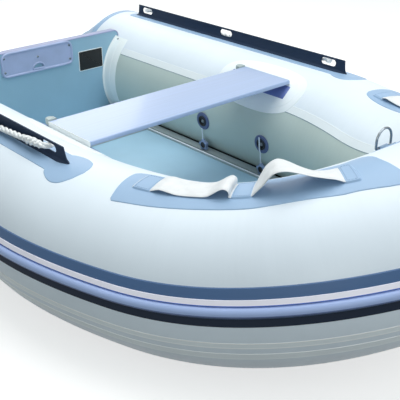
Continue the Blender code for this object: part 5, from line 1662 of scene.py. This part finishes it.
def build_valve(label, matrix):
    """Two-stage valve: a bevelled flange on the tube wall, a threaded ring and a spring poppet."""
    for kind, profile, shade, slot, nodes in (
            ("flange", FLANGE_PROFILE, "valve", "valve_plastic", [f"valve_{label}"]),
            ("ring", THREAD_PROFILE, "black", "black_plastic", []),
            ("well", WELL_PROFILE, "black", "black_plastic", []),
            ("core", POPPET_PROFILE, "valve_core", "cap_plastic", [])):
        place(turned(f"valve_{kind}_{label}", profile, matrix, finish(shade)), "hull", slot, *nodes)


def build_valve_cap(label, at_valve, leash_top):
    """Lugged cap with a deep middle, hanging by its flat leash."""
    outline = []
    for k in range(CAP_LUGS):
        mid = 360.0 / CAP_LUGS * k + 100
        for turn, share in CAP_OUTLINE:
            a, r = math.radians(mid + turn), CAP_R + share * CAP_LUG
            outline.append((r * math.cos(a), r * math.sin(a)))
    matrix = at_valve @ Matrix.Translation((0, -CAP_DROP, CAP_LIFT))
    levels = [(0.0010, 0.0), (0, 0.0010), (0, CAP_T - 0.0014), (0.0005, CAP_T - 0.0004), (0.0016, CAP_T)]
    cap = moulded(f"valve_cap_body_{label}", outline, levels, matrix, finish("cap"))
    place(cap, "hull", "cap_plastic", f"valve_cap_{label}")
    hub = [(r, CAP_T + up) for r, up in CAP_HUB]
    well = turned(f"valve_cap_well_{label}", hub, matrix, finish("black"), 36)
    place(well, "hull", "black_plastic")
    drop = np.linspace(leash_top, CAP_R - CAP_DROP, 18)
    out = np.interp(drop, (-VALVE_R, -VALVE_R + 0.006, -0.020), (0.0034, 0.0050, 0.0074))
    path = np.array([at_valve @ Vector((LEASH_ASIDE, y, z)) for y, z in zip(drop, out)])
    leash = ribbon(f"valve_leash_{label}", path, (1.0, 0.0, 0.0), LEASH_WIDTH, LEASH_T, finish("leash"))
    place(leash, "hull", "cap_plastic")


# Studio

SENSOR = 36.0
FLOOR_HALF = 40.0
FLOOR_SHOWN = (0.60, 0.60, 0.60, 1)
FLOOR_LIFT = 0.64
FLOOR_BOUNCE = (0.09, 0.11, 0.115, 1)
FILL_STRENGTH = 0.34
FILL_TINT = (0.82, 0.98, 0.97, 1)
WHITE = (1, 1, 1, 1)
# Name, place, the point that it faces, side in metres and watts
SOFTBOXES = (
    ("overhead_softbox", (0.1, 0.2, 3.2), (0.1, 0.0, 0.2), 3.0, 84.0),
    ("fore_softbox", (3.4, 1.0, 2.2), (0.0, 0.0, 0.3), 2.0, 24.0),
    ("aft_softbox", (-2.9, 1.3, 1.9), (0.0, -0.2, 0.4), 1.3, 10.0),
    ("near_softbox", (2.5, -2.5, 1.1), (0.6, -0.5, 0.3), 1.2, 15.5),
)


def build_camera():
    data = bpy.data.cameras.new("photo_camera")
    data.lens = CAMERA_LENS
    data.sensor_width = SENSOR
    data.shift_x, data.shift_y = CAMERA_SHIFT
    camera = bpy.data.objects.new("photo_camera", data)
    a, e = math.radians(CAMERA_AZIMUTH), math.radians(CAMERA_ELEVATION)
    back = Vector((math.sin(a) * math.cos(e), -math.cos(a) * math.cos(e), math.sin(e)))
    right = Vector((math.cos(a), math.sin(a), 0))
    rows = Matrix((right, back.cross(right), back)).transposed().to_4x4()
    camera.matrix_world = Matrix.Translation(CAMERA_AT) @ rows
    bpy.context.scene.collection.objects.link(camera)
    bpy.context.scene.camera = camera


def seen_directly(tree):
    """1 for camera, glossy and transmission rays, 0 for the light that the studio bounces."""
    path = add(tree, "ShaderNodeLightPath")
    seen = path.outputs["Is Camera Ray"]
    for kind in ("Is Glossy Ray", "Is Transmission Ray"):
        both = add(tree, "ShaderNodeMath", {0: seen, 1: path.outputs[kind]}, operation="MAXIMUM")
        seen = both.outputs[0]
    return seen


def build_floor_plane():
    """Pale matt floor that shows white and keeps the shadow, but bounces light like dark grey."""
    bm = bmesh.new()
    bmesh.ops.create_grid(bm, x_segments=1, y_segments=1, size=FLOOR_HALF)
    mat = bpy.data.materials.new("matt_studio_floor")
    mat.use_nodes = True
    tree = mat.node_tree
    tree.nodes.clear()
    pale = add(tree, "ShaderNodeBsdfDiffuse", {"Color": FLOOR_SHOWN})
    lift = add(tree, "ShaderNodeEmission", {"Color": WHITE, "Strength": FLOOR_LIFT})
    shown = add(tree, "ShaderNodeAddShader", {0: pale.outputs[0], 1: lift.outputs[0]})
    grey = add(tree, "ShaderNodeBsdfDiffuse", {"Color": FLOOR_BOUNCE})
    mixed = add(tree, "ShaderNodeMixShader",
                {0: seen_directly(tree), 1: grey.outputs[0], 2: shown.outputs[0]})
    add(tree, "ShaderNodeOutputMaterial", {"Surface": mixed.outputs[0]})
    floor = bmesh_object("studio_floor", bm, mat)


def build_world():
    """White where it is seen, and a dimmer, faintly green-blue fill for the light it gives."""
    world = bpy.data.worlds.new("studio")
    bpy.context.scene.world = world
    world.use_nodes = True
    tree = world.node_tree
    tree.nodes.clear()
    seen = seen_directly(tree)
    strength = add(tree, "ShaderNodeMapRange", {"Value": seen, "To Min": FILL_STRENGTH, "To Max": 1.0})
    tint = add(tree, "ShaderNodeMix", {0: seen, 6: FILL_TINT, 7: WHITE}, data_type="RGBA")
    sky = add(tree, "ShaderNodeBackground",
              {"Color": tint.outputs[2], "Strength": strength.outputs["Result"]})
    add(tree, "ShaderNodeOutputWorld", {"Surface": sky.outputs[0]})


def soft_lamp(name, at, toward, size, watts):
    data = bpy.data.lights.new(name, "AREA")
    data.shape = "SQUARE"
    data.size = size
    data.energy = watts
    lamp = bpy.data.objects.new(name, data)
    lamp.location = at
    lamp.rotation_euler = (Vector(at) - Vector(toward)).to_track_quat("Z", "Y").to_euler()
    bpy.context.scene.collection.objects.link(lamp)


def build_stage():
    build_floor_plane()
    build_world()
    for softbox in SOFTBOXES:
        soft_lamp(*softbox)
    bpy.context.scene.view_settings.view_transform = "Standard"


# Operators

class DINGHY_OT_camera(bpy.types.Operator):
    """Set the camera at the photograph's place"""
    bl_idname = "dinghy.camera"
    bl_label = "Camera"

    def execute(self, context):
        build_camera()
        return {"FINISHED"}


class DINGHY_OT_life_lines(bpy.types.Operator):
    """Lay the two life lines and their splices"""
    bl_idname = "dinghy.life_lines"
    bl_label = "Life lines"

    def execute(self, context):
        build_life_lines()
        return {"FINISHED"}


class DINGHY_OT_tubes(bpy.types.Operator):
    """Skin the air tubes and stern cones and tape their seams"""
    bl_idname = "dinghy.tubes"
    bl_label = "Air tubes"

    def execute(self, context):
        build_tubes()
        return {"FINISHED"}


class DINGHY_OT_strake(bpy.types.Operator):
    """Run the band, stripe and bead round the outside"""
    bl_idname = "dinghy.strake"
    bl_label = "Rub strake"

    def execute(self, context):
        build_strake()
        return {"FINISHED"}


class DINGHY_OT_bottom(bpy.types.Operator):
    """Stretch the bottom fabric between the tubes"""
    bl_idname = "dinghy.bottom"
    bl_label = "Bottom fabric"

    def execute(self, context):
        build_bottom()
        return {"FINISHED"}


class DINGHY_OT_transom(bpy.types.Operator):
    """Finish the transom, its edge, pads, plate, drain and bonding strips"""
    bl_idname = "dinghy.transom"
    bl_label = "Transom"

    def execute(self, context):
        build_transom()
        return {"FINISHED"}


class DINGHY_OT_floor_boards(bpy.types.Operator):
    """Finish the floor boards, joiners and stringers"""
    bl_idname = "dinghy.floor_boards"
    bl_label = "Floor"

    def execute(self, context):
        build_floor()
        return {"FINISHED"}


class DINGHY_OT_seat(bpy.types.Operator):
    """Build the seat plank, its end caps and tabs"""
    bl_idname = "dinghy.seat"
    bl_label = "Bench seat"

    def execute(self, context):
        build_seat()
        return {"FINISHED"}


class DINGHY_OT_seat_holders(bpy.types.Operator):
    """Bond the seat's patches and flaps on the tubes"""
    bl_idname = "dinghy.seat_holders"
    bl_label = "Seat holders"

    def execute(self, context):
        build_seat_holders()
        return {"FINISHED"}


class DINGHY_OT_rails(bpy.types.Operator):
    """Build the rope rails and the patches under them"""
    bl_idname = "dinghy.rails"
    bl_label = "Rope rails"

    def execute(self, context):
        build_rails()
        return {"FINISHED"}


class DINGHY_OT_handles(bpy.types.Operator):
    """Bond the bow patches and sew the handle webbing on"""
    bl_idname = "dinghy.handles"
    bl_label = "Bow handles"

    def execute(self, context):
        build_handles()
        return {"FINISHED"}


class DINGHY_OT_bow_ring(bpy.types.Operator):
    """Build the bow ring, its keeper and patch"""
    bl_idname = "dinghy.bow_ring"
    bl_label = "Bow ring"

    def execute(self, context):
        build_bow_ring()
        return {"FINISHED"}


class DINGHY_OT_valves(bpy.types.Operator):
    """Build the valves and their leashed caps"""
    bl_idname = "dinghy.valves"
    bl_label = "Valves"

    def execute(self, context):
        build_valves()
        return {"FINISHED"}


class DINGHY_OT_stage(bpy.types.Operator):
    """Build the floor, the world and the soft lamps"""
    bl_idname = "dinghy.stage"
    bl_label = "Studio"

    def execute(self, context):
        build_stage()
        return {"FINISHED"}


OPERATORS = (
    DINGHY_OT_camera,
    DINGHY_OT_life_lines,
    DINGHY_OT_tubes,
    DINGHY_OT_strake,
    DINGHY_OT_bottom,
    DINGHY_OT_transom,
    DINGHY_OT_floor_boards,
    DINGHY_OT_seat,
    DINGHY_OT_seat_holders,
    DINGHY_OT_rails,
    DINGHY_OT_handles,
    DINGHY_OT_bow_ring,
    DINGHY_OT_valves,
    DINGHY_OT_stage,
)


class DINGHY_PT_panel(bpy.types.Panel):
    """Lists the dinghy's sizes, colours and builders."""
    bl_idname = "DINGHY_PT_panel"
    bl_label = "Inflatable dinghy"
    bl_space_type = "VIEW_3D"
    bl_region_type = "UI"
    bl_category = "Dinghy"

    def draw(self, context):
        layout = self.layout
        for group in (context.scene.dinghy_sizes, context.scene.dinghy_colours):
            box = layout.box()
            for key in group.__annotations__:
                box.prop(group, key)
        for operator in OPERATORS:
            layout.operator(operator.bl_idname)


CLASSES = (DinghyColours, DinghySizes, *OPERATORS, DINGHY_PT_panel)


def register():
    for cls in CLASSES:
        bpy.utils.register_class(cls)
    bpy.types.Scene.dinghy_colours = PointerProperty(type=DinghyColours)
    bpy.types.Scene.dinghy_sizes = PointerProperty(type=DinghySizes)


def unregister():
    del bpy.types.Scene.dinghy_sizes
    del bpy.types.Scene.dinghy_colours
    for cls in reversed(CLASSES):
        bpy.utils.unregister_class(cls)


def main():
    register()
    for operator in OPERATORS:
        _, name = operator.bl_idname.split(".")
        getattr(bpy.ops.dinghy, name)()


if __name__ == "__main__":
    main()
